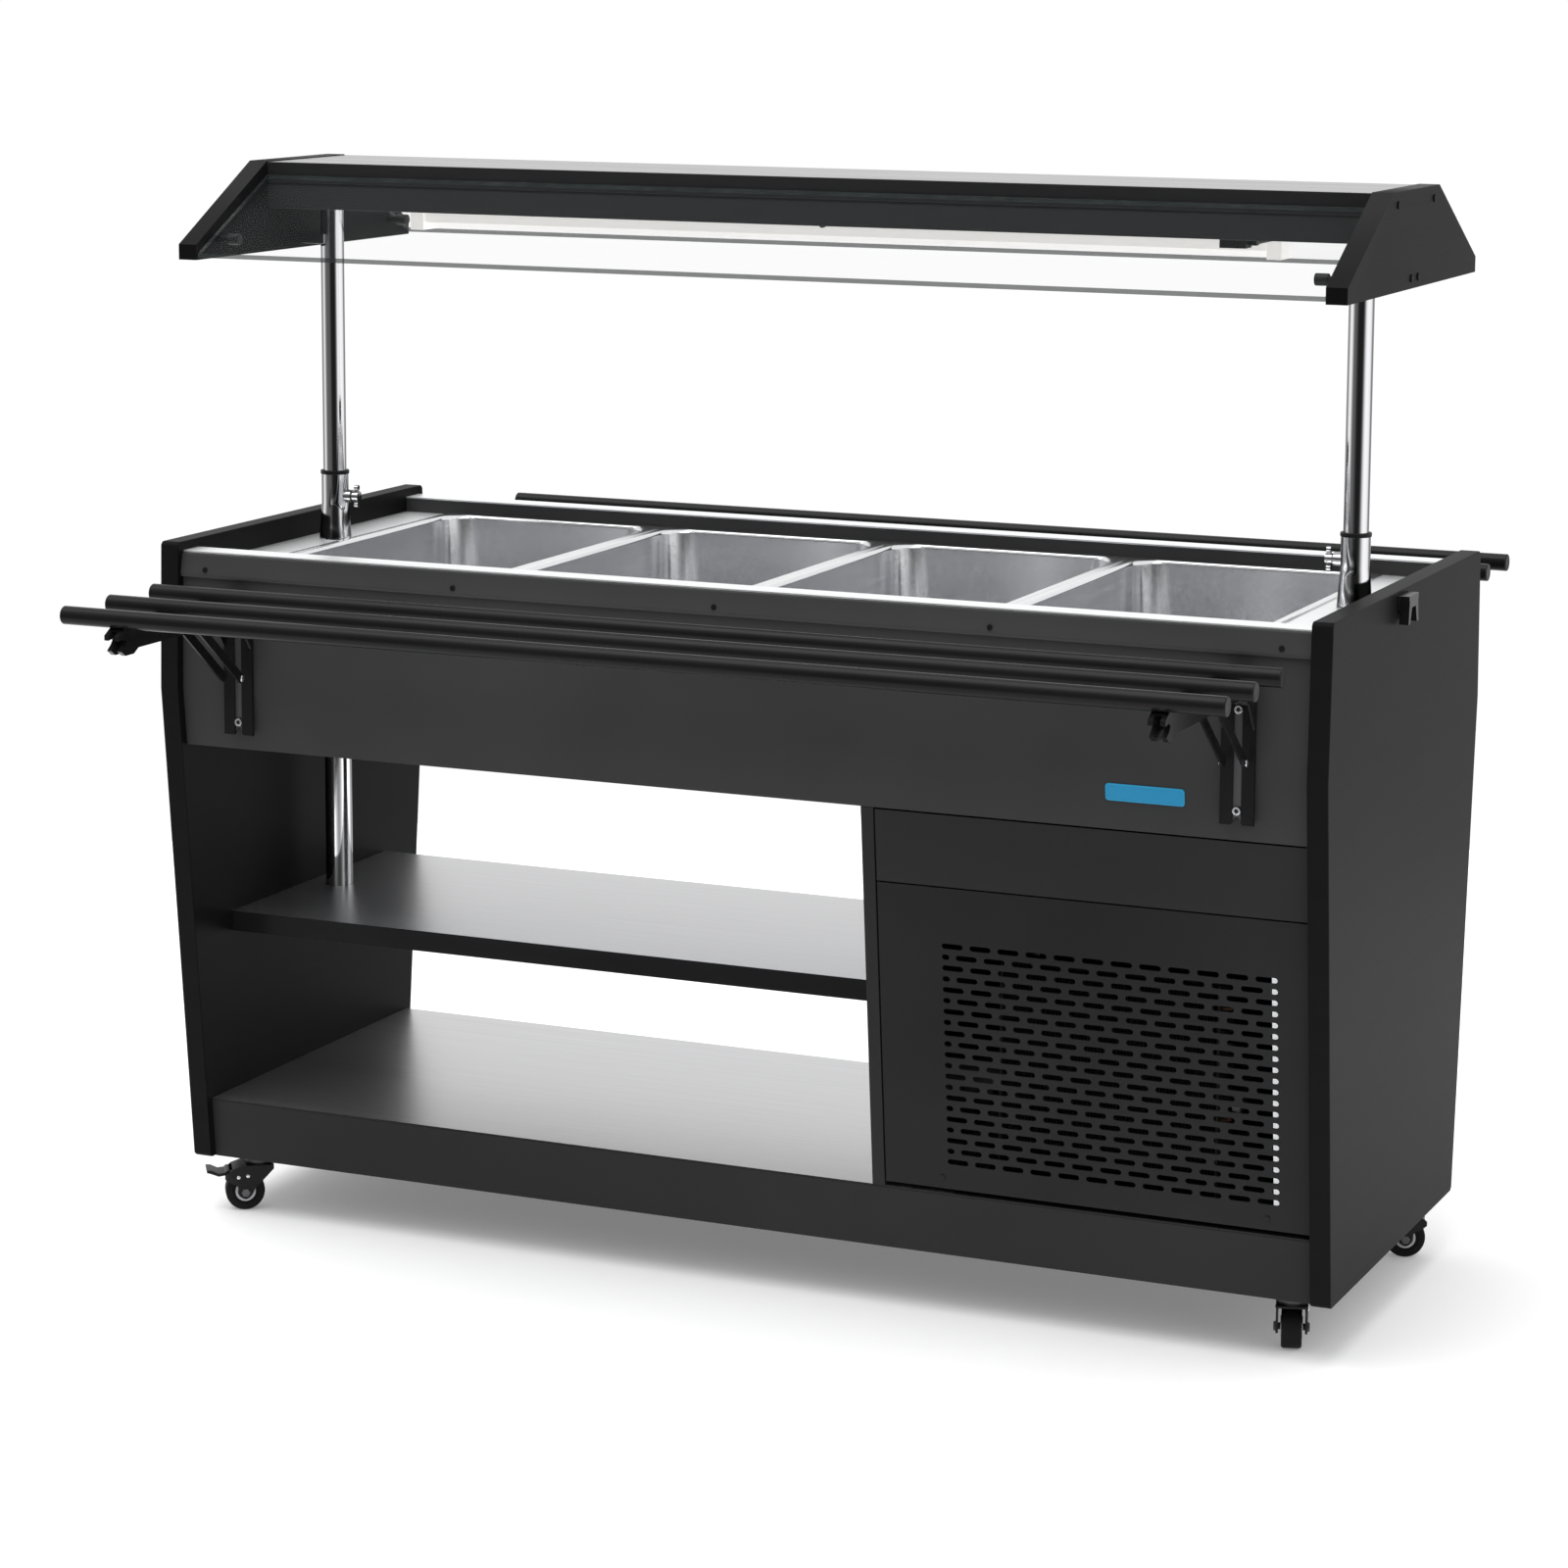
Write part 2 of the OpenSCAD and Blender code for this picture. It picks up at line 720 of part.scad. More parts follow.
// Rocker of the main switch, tilted to its off side
module power_switch() {
    tilt = 8;
    color("seagreen") on_rear(control_z) translate([0, -6, 0]) rotate([tilt, 0, 0]) union() {
        rod_x(switch_x - 14.5, switch_x + 14.5, 0, 0, 2);
        along_x(switch_x - 11, switch_x + 11)
            polygon([[-6, -9], [10, -13], [7, 0], [10, 13], [-6, 9]]);
    }
}

// ---- Posts ----

// The two fixed lower tubes, each with a conical boot on the deck and a boss for its clamp screw
module post_sleeves() {
    boot_h = 47;
    color(chrome) for (s = [-1, 1]) {
        foot = s < 0 ? shelf_z - 2 : floor_z;
        difference() {
            union() {
                rod_z(foot, sleeve_top, s * post_x, 0, sleeve_r);
                translate([s * post_x, 0, deck_z]) cylinder(h = boot_h, r1 = sleeve_r + 3.5, r2 = sleeve_r);
                if (s < 0) rod_x(-post_x, -post_x + sleeve_r + boss_l, 0, knob_z, 8);
                if (s > 0) rod_x(post_x - sleeve_r - boss_l, post_x, 0, knob_z, 8);
            }
            rod_z(foot - 1, sleeve_top + 1, s * post_x, 0, sleeve_bore_r);
            if (s < 0) rod_x(-post_x, -post_x + sleeve_r + boss_l + 1, 0, knob_z, knob_shaft_r + pin_play);
            if (s > 0) rod_x(post_x - sleeve_r - boss_l - 1, post_x, 0, knob_z, knob_shaft_r + pin_play);
        }
    }
}

module sleeve_rings() {
    color(black_plain) both_ends() difference() {
        rod_z(sleeve_top, sleeve_top + ring_h, post_x, 0, sleeve_r + 1);
        rod_z(sleeve_top - 1, sleeve_top + ring_h + 1, post_x, 0, post_d / 2 + 0.08);
    }
}

// Clamp screw on the left post: threaded shaft and winged head, pointing towards the middle
module clamp_knob() {
    head_x = sleeve_r + boss_l + 2;
    color(chrome) union() {
        rod_x(post_d / 2 + 0.4, head_x + 1, 0, 0, knob_shaft_r);
        rod_x(head_x, head_x + 8, 0, 0, 6.5);
        block([head_x + 2, -2, -12], [head_x + 7, 2, 12]);
        rod_x(head_x + 2, head_x + 7, 0, 11, 3.5);
        rod_x(head_x + 2, head_x + 7, 0, -11, 3.5);
    }
}

module post_knob_left() {
    translate([-post_x, 0, knob_z]) clamp_knob();
}

module post_knob_right() {
    translate([post_x, 0, knob_z]) rotate([0, 0, 180]) clamp_knob();
}

// Sliding posts with a bracket to the canopy end plates
module upper_posts() {
    color(chrome) both_ends() difference() {
        union() {
            rod_z(post_bottom, beam_z, post_x, 0, post_d / 2);
            block([post_x, -22, plate_z + 6], [plate_in, 22, plate_z + 18]);
        }
        rod_z(post_bottom - 1, beam_z - 3, post_x, 0, post_d / 2 - post_wall);
    }
}

// ---- Canopy ----

module canopy_plate_outline() {
    polygon([
        [-canopy_half_d, plate_z], [canopy_half_d, plate_z], [canopy_half_d, plate_clip_z],
        [beam_half_d, canopy_h], [-beam_half_d, canopy_h], [-canopy_half_d, plate_clip_z]
    ]);
}

// Thick end plates with their screw heads and the bores of the glass clamps
module canopy_end_plates() {
    color(black_satin) both_ends() union() {
        difference() {
            along_x(plate_in, canopy_half_w) canopy_plate_outline();
            for (s = [-1, 1])
                rod_x(plate_in - 1, plate_in + 14, s * glass_knob_y, glass_knob_z, knob_shaft_r + pin_play);
        }
        for (s = [-1, 1]) {
            rod_x(canopy_half_w - 1, canopy_half_w + 1.5, s * 76, canopy_h - 15, 4.5);
            rod_x(canopy_half_w - 1, canopy_half_w + 1.5, s * 14, plate_z + 12, 4.5);
        }
    }
}

// Box beam with two grooves along each long face
module canopy_beam() {
    g = 2.5;
    gz = [canopy_h - 19, canopy_h - 28];
    color(black_satin) along_x(-plate_in, plate_in) difference() {
        polygon([
            [-beam_half_d, beam_z], [beam_half_d, beam_z],
            [beam_half_d, beam_top], [-beam_half_d, beam_top]
        ]);
        translate([-beam_half_d + 5, beam_z + beam_wall])
            square([2 * beam_half_d - 10, beam_top - beam_z - 2 * beam_wall]);
        for (s = [-1, 1], z = gz)
            translate([s * beam_half_d - g, z - 1.5]) square([2 * g, 3]);
    }
}

// Sloping sneeze guards, front and rear
module glass_panels() {
    run = canopy_half_d - beam_half_d - 4;
    low_y = canopy_half_d - 2;
    rise = run * tan(glass_slope);
    t = glass_t / cos(glass_slope);
    color(clear_glass) both_sides() along_x(-plate_in + 1, plate_in - 1)
        polygon([
            [low_y, glass_low_z], [low_y, glass_low_z + t],
            [low_y - run, glass_low_z + t + rise], [low_y - run, glass_low_z + rise]
        ]);
}

lamp_y = 40;
lamp_half_l = 560;
switch_lamp_x = 545;
button_r = 4.5;

// Slim lamp with a diffuser, two holders and its lead in two clips, under the beam
module lamp() {
    color(lamp_white) along_x(-lamp_half_l, lamp_half_l)
        polygon([
            [lamp_y - 18, beam_z - 8], [lamp_y + 18, beam_z - 8], [lamp_y + 18, beam_z - 20],
            [lamp_y + 10, beam_z - 27], [lamp_y - 10, beam_z - 27], [lamp_y - 18, beam_z - 20]
        ]);
    color(black_plain) {
        both_ends() block(
            [lamp_half_l, lamp_y - 21, beam_z - 30],
            [lamp_half_l + 18, lamp_y + 21, beam_z]
        );
        rod_y(-44, lamp_y - 20, lamp_half_l + 6, beam_z - 6, 2.5);
        block([switch_lamp_x + 14, -52, beam_z - 9], [lamp_half_l + 10, -42, beam_z - 3]);
        difference() {
            block([switch_lamp_x - 16, -64, beam_z - 12], [switch_lamp_x + 16, -42, beam_z]);
            rod_y(-65, -56, switch_lamp_x, beam_z - 6, button_r + pin_play);
        }
    }
}

// Push button of the lamp switch
module lamp_switch() {
    color("gray") rod_y(-67, -59, switch_lamp_x, beam_z - 6, button_r);
}

// Knurled clamp knob that holds a glass panel's lower corner
module glass_knob(end, side) {
    translate([end * plate_in, side * glass_knob_y, glass_knob_z]) rotate([0, 0, end > 0 ? 180 : 0])
        color(black_plain) union() {
            rod_x(-13, 14, 0, 0, knob_shaft_r);
            rod_x(13, 29, 0, 0, 7);
        }
}

module glass_knob_front_left() glass_knob(-1, -1);
module glass_knob_front_right() glass_knob(1, -1);
module glass_knob_rear_left() glass_knob(-1, 1);
module glass_knob_rear_right() glass_knob(1, 1);

// ---- Tray slides ----

// Wall channel with two shallow flanges, notched at its foot, and two deeper ears for the arm's pin
module tray_channel() {
    half = channel_w / 2;
    flange_w = 15;
    depth = 5;
    ear_depth = 30;
    ear_z = 780;
    y0 = channel_y;
    difference() {
        union() {
            block([-half, y0, channel_z0], [half, y0 + web_t, channel_z1]);
            both_ends() block([half - flange_w, y0, channel_z0], [half, y0 + depth, channel_z1 - 40]);
            both_ends() along_x(half - web_t, half)
                polygon([
                    [y0, ear_z - 34], [y0 + depth, ear_z - 34], [y0 + ear_depth, ear_z],
                    [y0 + ear_depth, channel_z1], [y0, channel_z1]
                ]);
        }
        along_y(y0 - 1, y0 + depth + 1)
            polygon([[-7, channel_z0 - 1], [7, channel_z0 - 1], [2, channel_z0 + 9], [-2, channel_z0 + 9]]);
    }
    rod_x(-half, half, arm_pivot_y, arm_pivot_z, pin_r);
}

module tray_channels() {
    color(black_plain) both_sides() for (s = [-1, 1]) translate([s * bracket_x, 0, 0]) tray_channel();
}

// One folding arm: an upside-down channel with a two-lipped claw at its outer end
module tray_arm() {
    z0 = arm_pivot_z - arm_h / 2;
    z1 = arm_pivot_z + arm_h / 2;
    y_in = arm_pivot_y - 12;
    inner = 4;
    difference() {
        union() {
            along_x(-arm_w / 2, arm_w / 2) polygon([
                [y_in, z0 + 6], [y_in + 6, z0], [arm_end_y - 34, z0], [arm_end_y - 24, z0 - 6],
                [arm_end_y - 6, z0 - 6], [arm_end_y + 3, z0], [arm_end_y - 5, z0 + 6],
                [arm_end_y - 9, z0 + 11], [arm_end_y - 3, z0 + 15], [arm_end_y + 8, z0 + 13],
                [arm_end_y + 8, z0 + 19], [arm_end_y - 4, z1], [y_in, z1]
            ]);
            rod_x(-arm_w / 2, arm_w / 2, arm_pivot_y, arm_pivot_z, arm_h / 2);
        }
        block([-inner, y_in - 20, z0 - 40], [inner, arm_end_y + 30, z1 - 3]);
        rod_x(-arm_w, arm_w, arm_pivot_y, arm_pivot_z, pin_r + pin_play);
    }
    rod_x(-brace_in - brace_t, brace_in + brace_t, brace_pin_y, arm_pivot_z, brace_pin_r);
}

// Two arms and the three rails that lie on them
module tray_rack() {
    rail_r = rail_d / 2;
    rail_z = arm_pivot_z + arm_h / 2 + rail_r + 0.05;
    for (s = [-1, 1]) translate([s * bracket_x, 0, 0]) tray_arm();
    for (k = [0:2]) difference() {
        rod_x(-rail_l / 2, rail_l / 2, outer_rail_y - k * rail_pitch, rail_z, rail_r);
        rod_x(-rail_l / 2 - 1, rail_l / 2 + 1, outer_rail_y - k * rail_pitch, rail_z, rail_r - 1.5);
    }
}

// Twin braces, hinged beside each arm, whose feet stand on the channels
module tray_brace_pair() {
    foot_rivet_h = 1.5;
    for (s = [-1, 1]) translate([s * bracket_x, brace_pin_y, arm_pivot_z]) rotate([brace_angle, 0, 0]) {
        both_ends() difference() {
            union() {
                block([brace_in, -brace_l, -brace_h / 2], [brace_in + brace_t, 0, brace_h / 2]);
                for (y = [-brace_l, 0]) rod_x(brace_in, brace_in + brace_t, y, 0, brace_h / 2);
                rod_x(brace_in, brace_in + brace_t + foot_rivet_h, -brace_l, 0, 1.5 * brace_pin_r);
            }
            rod_x(-2 * brace_in, 2 * brace_in, 0, 0, brace_pin_r + pin_play);
        }
    }
}

module front_tray_rack() {
    color(black_plain) mirror([0, 1, 0]) tray_rack();
}

module rear_tray_rack() {
    color(black_plain) tray_rack();
}

module front_tray_braces() {
    color(black_plain) mirror([0, 1, 0]) tray_brace_pair();
}

module rear_tray_braces() {
    color(black_plain) tray_brace_pair();
}

// ---- Small fixed parts ----

// Visible screws and bolts: fascia, grille, and tray channels
module fixing_screws() {
    head_r = 3.5;
    fascia_screw_z = 839;
    color([0.35, 0.35, 0.36]) {
        both_sides() for (i = [-2:2])
            translate([i * 345, fascia_y - (fascia_screw_z - fascia_z) * tan(fascia_lean), fascia_screw_z])
                rotate([fascia_lean - 90, 0, 0]) translate([0, 0, 0.02]) cylinder(h = 1.2, r = head_r);
        for (x = [274, 672]) on_front(x, 172) translate([0, 0, 0.02]) cylinder(h = 1.5, r = head_r);
        both_sides() for (s = [-1, 1], z = [653, 768])
            rod_y(channel_y + web_t, channel_y + web_t + 3, s * bracket_x, z, 4.9);
    }
}

hook_y = -38;
hook_z = counter_h - 5;

// Two-pronged hooks high on the outer faces of the end panels
module side_hooks() {
    color(black_plain) both_ends() {
        along_x(half_w, half_w + 3) translate([hook_y, hook_z]) polygon([
            [-22, 0], [22, 0], [22, -14], [12, -22], [-12, -22], [-22, -14]
        ]);
        along_x(half_w + 2.5, half_w + 14) translate([hook_y, hook_z]) polygon([
            [-20, 0], [20, 0], [18, -9], [21, -33], [14, -33], [8, -14],
            [-8, -14], [-14, -33], [-21, -33], [-18, -9]
        ]);
    }
}

// ---- Casters ----

module caster_plates() {
    color([0.3, 0.3, 0.31]) both_ends() both_sides() translate([caster_x, caster_y, 0]) difference() {
        union() {
            block([-plate_size / 2, -plate_size / 2, foot_z - 3], [plate_size / 2, plate_size / 2, foot_z]);
            rod_z(foot_z - 12, foot_z - 2, 0, 0, 17);
        }
        rod_z(foot_z - 13, foot_z + 1, 0, 0, swivel_r + pin_play);
        for (sx = [-1, 1], sy = [-1, 1]) rod_z(foot_z - 4, foot_z + 1, sx * 22, sy * 22, 3.3);
    }
}

// Places a caster: the trail points along the turned +X
module at_caster(sx, sy, turn) {
    translate([sx * caster_x, sy * caster_y, 0]) rotate([0, 0, turn]) children();
}

// Hooded fork on its swivel pin, with the axle and the brake pedal's hinge pin
module caster_fork() {
    half_in = wheel_w / 2 + fork_gap;
    half_out = half_in + cheek_t;
    crown_top = foot_z - 12.3;
    color(black_plain) union() {
        rod_z(crown_top - 4, foot_z - 1, 0, 0, swivel_r);
        rod_z(crown_top - 4, crown_top, 0, 0, 17);
        along_y(-half_out, half_out)
            polygon([[-18, 57.5], [22, 57.5], [34, 53.8], [34.6, 55.8], [22.3, 60], [-18, 60]]);
        both_sides() along_y(half_in, half_out)
            polygon([
                [-18, 60], [22.3, 60], [34.6, 55.8], [44, 48], [44, 43], [38, 38], [28, 33], [26, 22],
                [22, 17.5], [18, 16], [14, 17.5], [10, 22], [6, 30], [-4, 40], [-18, 55]
            ]);
        rod_y(-half_out - 2.5, half_out + 2.5, caster_trail, wheel_r, axle_r);
        rod_y(-half_out, half_out, pedal_x, pedal_z, pedal_pin_r);
    }
}

module caster_wheel() {
    groove = 1.5;
    color(black_plain) translate([caster_trail, 0, wheel_r]) rotate([90, 0, 0]) rotate_extrude($fn = 72)
        polygon([
            [axle_r + pin_play, -wheel_w / 2], [9, -wheel_w / 2], [10, -wheel_w / 2 + groove],
            [16, -wheel_w / 2 + groove], [17, -wheel_w / 2 + 0.5], [wheel_r - 2, -wheel_w / 2 + 0.5],
            [wheel_r, -wheel_w / 2 + 3], [wheel_r, wheel_w / 2 - 3], [wheel_r - 2, wheel_w / 2 - 0.5],
            [17, wheel_w / 2 - 0.5], [16, wheel_w / 2 - groove], [10, wheel_w / 2 - groove],
            [9, wheel_w / 2], [axle_r + pin_play, wheel_w / 2]
        ]);
}

// Foot pedal with a barrel on the fork's hinge pin
module caster_brake() {
    half_pedal = wheel_w / 2 + fork_gap - 0.3;
    color(black_plain) difference() {
        union() {
            along_y(-half_pedal, half_pedal) polygon([
                [pedal_x, pedal_z - 1.8], [52, 46.5], [62, 50.5], [67, 52],
                [67, 55.5], [61, 55], [52, 50.5], [pedal_x, pedal_z + 1.8]
            ]);
            rod_y(-half_pedal, half_pedal, pedal_x, pedal_z, 4);
        }
        rod_y(-half_pedal - 1, half_pedal + 1, pedal_x, pedal_z, pedal_pin_r + pin_play);
    }
}

front_left_turn = 215;
front_right_turn = 107;
rear_left_turn = 160;
rear_right_turn = 20;

module caster_fork_front_left() at_caster(-1, -1, front_left_turn) caster_fork();
module caster_fork_front_right() at_caster(1, -1, front_right_turn) caster_fork();
module caster_fork_rear_left() at_caster(-1, 1, rear_left_turn) caster_fork();
module caster_fork_rear_right() at_caster(1, 1, rear_right_turn) caster_fork();
module caster_wheel_front_left() at_caster(-1, -1, front_left_turn) caster_wheel();
module caster_wheel_front_right() at_caster(1, -1, front_right_turn) caster_wheel();
module caster_wheel_rear_left() at_caster(-1, 1, rear_left_turn) caster_wheel();
module caster_wheel_rear_right() at_caster(1, 1, rear_right_turn) caster_wheel();
module caster_brake_front_left() at_caster(-1, -1, front_left_turn) caster_brake();
module caster_brake_front_right() at_caster(1, -1, front_right_turn) caster_brake();

left_end_panel();
right_end_panel();
base_tray();
mid_shelf();
divider_panel();
aprons();
infill_panel();
vent_grille();
rear_panel();
fascias();
worktop();
well_tank();
well_foam();
well_casing();
pan_bars();
evaporator_coil();
drain_pipe();
drain_lever();
compressor();
condenser();
fan_blades();
post_sleeves();
sleeve_rings();
tray_channels();
fixing_screws();
side_hooks();
power_inlet();
control_box();
power_switch();
caster_plates();
post_knob_left();
post_knob_right();
upper_posts();
canopy_end_plates();
canopy_beam();
glass_panels();
lamp();
lamp_switch();
glass_knob_front_left();
glass_knob_front_right();
glass_knob_rear_left();
glass_knob_rear_right();
front_tray_rack();
front_tray_braces();
rear_tray_rack();
rear_tray_braces();
pan_1();
pan_2();
pan_3();
pan_4();
caster_fork_front_left();
caster_fork_front_right();
caster_fork_rear_left();
caster_fork_rear_right();
caster_wheel_front_left();
caster_wheel_front_right();
caster_wheel_rear_left();
caster_wheel_rear_right();
caster_brake_front_left();
caster_brake_front_right();
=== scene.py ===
"""Looks of the buffet counter: materials, finer meshes, lights and the camera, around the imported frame."""
import json
import math

import bmesh
import bpy
from mathutils import Matrix, Vector


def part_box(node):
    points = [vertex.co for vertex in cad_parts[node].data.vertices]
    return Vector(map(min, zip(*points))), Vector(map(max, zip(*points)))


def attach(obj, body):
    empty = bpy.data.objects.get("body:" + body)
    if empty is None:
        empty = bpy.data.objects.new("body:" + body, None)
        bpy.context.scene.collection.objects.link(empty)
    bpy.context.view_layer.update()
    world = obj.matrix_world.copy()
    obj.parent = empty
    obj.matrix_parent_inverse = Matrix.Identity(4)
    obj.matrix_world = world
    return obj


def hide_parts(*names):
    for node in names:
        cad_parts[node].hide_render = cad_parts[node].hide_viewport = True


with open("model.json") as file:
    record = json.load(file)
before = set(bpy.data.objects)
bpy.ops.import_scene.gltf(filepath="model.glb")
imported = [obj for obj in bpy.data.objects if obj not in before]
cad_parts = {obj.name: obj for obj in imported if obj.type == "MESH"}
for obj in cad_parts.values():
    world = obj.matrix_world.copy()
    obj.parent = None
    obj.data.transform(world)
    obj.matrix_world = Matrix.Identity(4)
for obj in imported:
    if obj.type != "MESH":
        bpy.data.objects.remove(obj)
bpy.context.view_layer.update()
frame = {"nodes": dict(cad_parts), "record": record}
NODES = frame["nodes"]
BEHAVIOUR = frame["record"]["behaviour"]
BODY_OF = {n: b for b, ns in BEHAVIOUR["bodies"].items() for n in ns}
JOINTS = {j["name"]: j for j in BEHAVIOUR["joints"]}
SLOT_OF = {s["node"]: s["material_slot"] for s in frame["record"]["subparts"]}
MM = 0.001
BRACKET_X = 0.643
CHANNEL_BOLT_Z = (0.653, 0.768)
RAIL_RADIUS = 11 * MM
WHEEL_HALF = 12.5 * MM
SLOT_HEIGHT = 6.5 * MM
BAY_END_X = 0.2
TRAY_TOP_Z = 0.151

scene = bpy.context.scene


# ---- Materials ----

class Shader:
    """One node material, built up call by call around its Principled shader."""

    def __init__(self, name, colour, roughness, metallic=0.0, **sockets):
        self.material = bpy.data.materials.new(name)
        self.material.use_nodes = True
        self.tree = self.material.node_tree
        self.bsdf = self.tree.nodes["Principled BSDF"]
        self.bsdf.inputs["Base Color"].default_value = (*colour, 1)
        self.bsdf.inputs["Roughness"].default_value = roughness
        self.bsdf.inputs["Metallic"].default_value = metallic
        for socket, value in sockets.items():
            self.bsdf.inputs[socket.replace("_", " ")].default_value = value
        self.material.diffuse_color = (*colour, 1)
        self.place = self.add("ShaderNodeTexCoord").outputs["Object"]
        self.height = None

    def add(self, kind, **settings):
        node = self.tree.nodes.new(kind)
        for key, value in settings.items():
            setattr(node, key, value)
        return node

    def link(self, source, target):
        self.tree.links.new(source, target)

    def stretched(self, scale):
        """The piece's own coordinates, scaled by a different factor along each axis."""
        mapping = self.add("ShaderNodeMapping")
        mapping.inputs["Scale"].default_value = scale
        self.link(self.place, mapping.inputs["Vector"])
        return mapping.outputs["Vector"]

    def noise(self, scale, detail=2.0, stretch=None, roughness=0.5):
        node = self.add("ShaderNodeTexNoise")
        node.inputs["Scale"].default_value = scale
        node.inputs["Detail"].default_value = detail
        node.inputs["Roughness"].default_value = roughness
        self.link(self.stretched(stretch) if stretch else self.place, node.inputs["Vector"])
        return node.outputs["Fac"]

    def ramp(self, value, low, high, start=0.3, end=0.7):
        """Turns a 0 to 1 value into one between two colours or two numbers."""
        node = self.add("ShaderNodeValToRGB")
        for stop, place, tone in zip(node.color_ramp.elements, (start, end), (low, high)):
            stop.position = place
            stop.color = (*tone, 1) if isinstance(tone, tuple) else (tone, tone, tone, 1)
        self.link(value, node.inputs["Fac"])
        return node.outputs["Color"]

    def colour(self, value, low, high, start=0.3, end=0.7):
        self.link(self.ramp(value, low, high, start, end), self.bsdf.inputs["Base Color"])
        return self

    def rough(self, value, low, high, start=0.3, end=0.7):
        self.link(self.ramp(value, low, high, start, end), self.bsdf.inputs["Roughness"])
        return self

    def bump(self, value, distance, strength=1.0):
        node = self.add("ShaderNodeBump")
        node.inputs["Distance"].default_value = distance
        node.inputs["Strength"].default_value = strength
        self.link(value, node.inputs["Height"])
        if self.height:
            self.link(self.height, node.inputs["Normal"])
        self.height = node.outputs["Normal"]
        self.link(self.height, self.bsdf.inputs["Normal"])
        return self

    def painted_edge_highlight(self, base_low, base_high, value, edge, amount=0.55):
        """Base colour from value, with a painted highlight where the surface is sharply convex."""
        geometry = self.add("ShaderNodeNewGeometry")
        # Painted highlight mask: Pointiness picks out the convex edges.
        highlight_mask = self.ramp(geometry.outputs["Pointiness"], 0.0, amount, 0.52, 0.6)
        mix = self.add("ShaderNodeMix", data_type="RGBA")
        self.link(highlight_mask, mix.inputs["Factor"])
        self.link(self.ramp(value, base_low, base_high), mix.inputs["A"])
        mix.inputs["B"].default_value = (*edge, 1)
        self.link(mix.outputs["Result"], self.bsdf.inputs["Base Color"])
        return self


def laminate(name="black_laminate", tone=0.014, ior=1.13):
    """Satin black board with a faint horizontal grain and a painted highlight along its sharp edges."""
    s = Shader(name, (tone, tone, tone * 1.05), 0.42, IOR=ior)
    grain = s.noise(1.0, 4.0, (60, 6, 700), 0.6)
    s.painted_edge_highlight(
        (tone * 0.92, tone * 0.92, tone * 0.96), (tone * 1.08, tone * 1.08, tone * 1.13),
        s.noise(1.0, 2.0, (4, 3, 40)), (tone * 3, tone * 3, tone * 3.1), 0.35,
    )
    s.rough(grain, 0.405, 0.435)
    return s.bump(grain, 0.00002, 0.15).material


def powder_coat(name, colour, roughness, ior=1.5, texture=900.0, depth=0.00004):
    """Powder coat: slight orange peel over broad patches of more and less sheen."""
    s = Shader(name, colour, roughness, IOR=ior)
    lighter = tuple(min(1.0, c * 1.2 + 0.001) for c in colour)
    darker = tuple(c * 0.82 for c in colour)
    # Painted highlight: sharply convex edges are lighter in the base colour.
    s.painted_edge_highlight(darker, lighter, s.noise(2.5, 3.0), tuple(min(1.0, c * 2.2 + 0.01) for c in colour), 0.3)
    s.rough(s.noise(6.0, 4.0), roughness - 0.04, roughness + 0.05)
    return s.bump(s.noise(texture, 2.0), depth, 0.5).material


def gloss_sheet(name="gloss_shelf", low=0.16, high=0.28, ior=1.5):
    """Glossy black sheet whose long sweeps of light break up into fine lines along its length."""
    s = Shader(name, (0.01, 0.01, 0.011), 0.22, IOR=ior)
    s.colour(s.noise(3.0, 3.0), (0.008, 0.008, 0.009), (0.014, 0.014, 0.015))
    streaks = s.noise(1.0, 4.0, (2.5, 260, 260), 0.6)
    s.rough(streaks, low, high)
    return s.bump(streaks, 0.000015, 0.4).material


def brushed(name, tone, roughness, stretch, spread=0.05, depth=0.000008, metallic=1.0):
    """Brushed stainless steel, with its streaks along the axis that stretch leaves long."""
    s = Shader(name, tone, roughness, metallic)
    streaks = s.noise(1.0, 5.0, stretch, 0.65)
    s.colour(streaks, tuple(c * 0.9 for c in tone), tuple(min(1.0, c * 1.06) for c in tone))
    s.rough(streaks, roughness - spread, roughness + spread)
    return s.bump(streaks, depth, 0.25).material


def chrome(name, roughness=0.06):
    """Chrome whose base colour paints the reflections it shows in a white studio: a dark middle, bright bands
    and dark edges, by how squarely it faces.
    """
    s = Shader(name, (0.8, 0.81, 0.83), roughness, 1.0)
    facing = s.add("ShaderNodeLayerWeight").outputs["Facing"]
    # Painted reflection: the facing value picks dark and bright bands of base colour.
    ramp = s.add("ShaderNodeValToRGB")
    painted_reflection_bands = ramp.color_ramp
    painted_reflection_bands.elements[0].position, painted_reflection_bands.elements[0].color = 0.015, (0.1, 0.1, 0.102, 1)
    painted_reflection_bands.elements[1].position, painted_reflection_bands.elements[1].color = 0.95, (0.05, 0.05, 0.052, 1)
    for place, tone in ((0.06, 0.8), (0.2, 0.92), (0.38, 0.8), (0.54, 0.16)):
        painted_reflection_bands.elements.new(place).color = (tone, tone, tone * 1.02, 1)
    s.link(facing, ramp.inputs["Fac"])
    s.link(ramp.outputs["Color"], s.bsdf.inputs["Base Color"])
    s.rough(s.noise(30.0, 3.0), roughness * 0.6, roughness * 1.5)
    return s.bump(s.noise(1.0, 3.0, (400, 400, 12)), 0.000002, 0.3).material


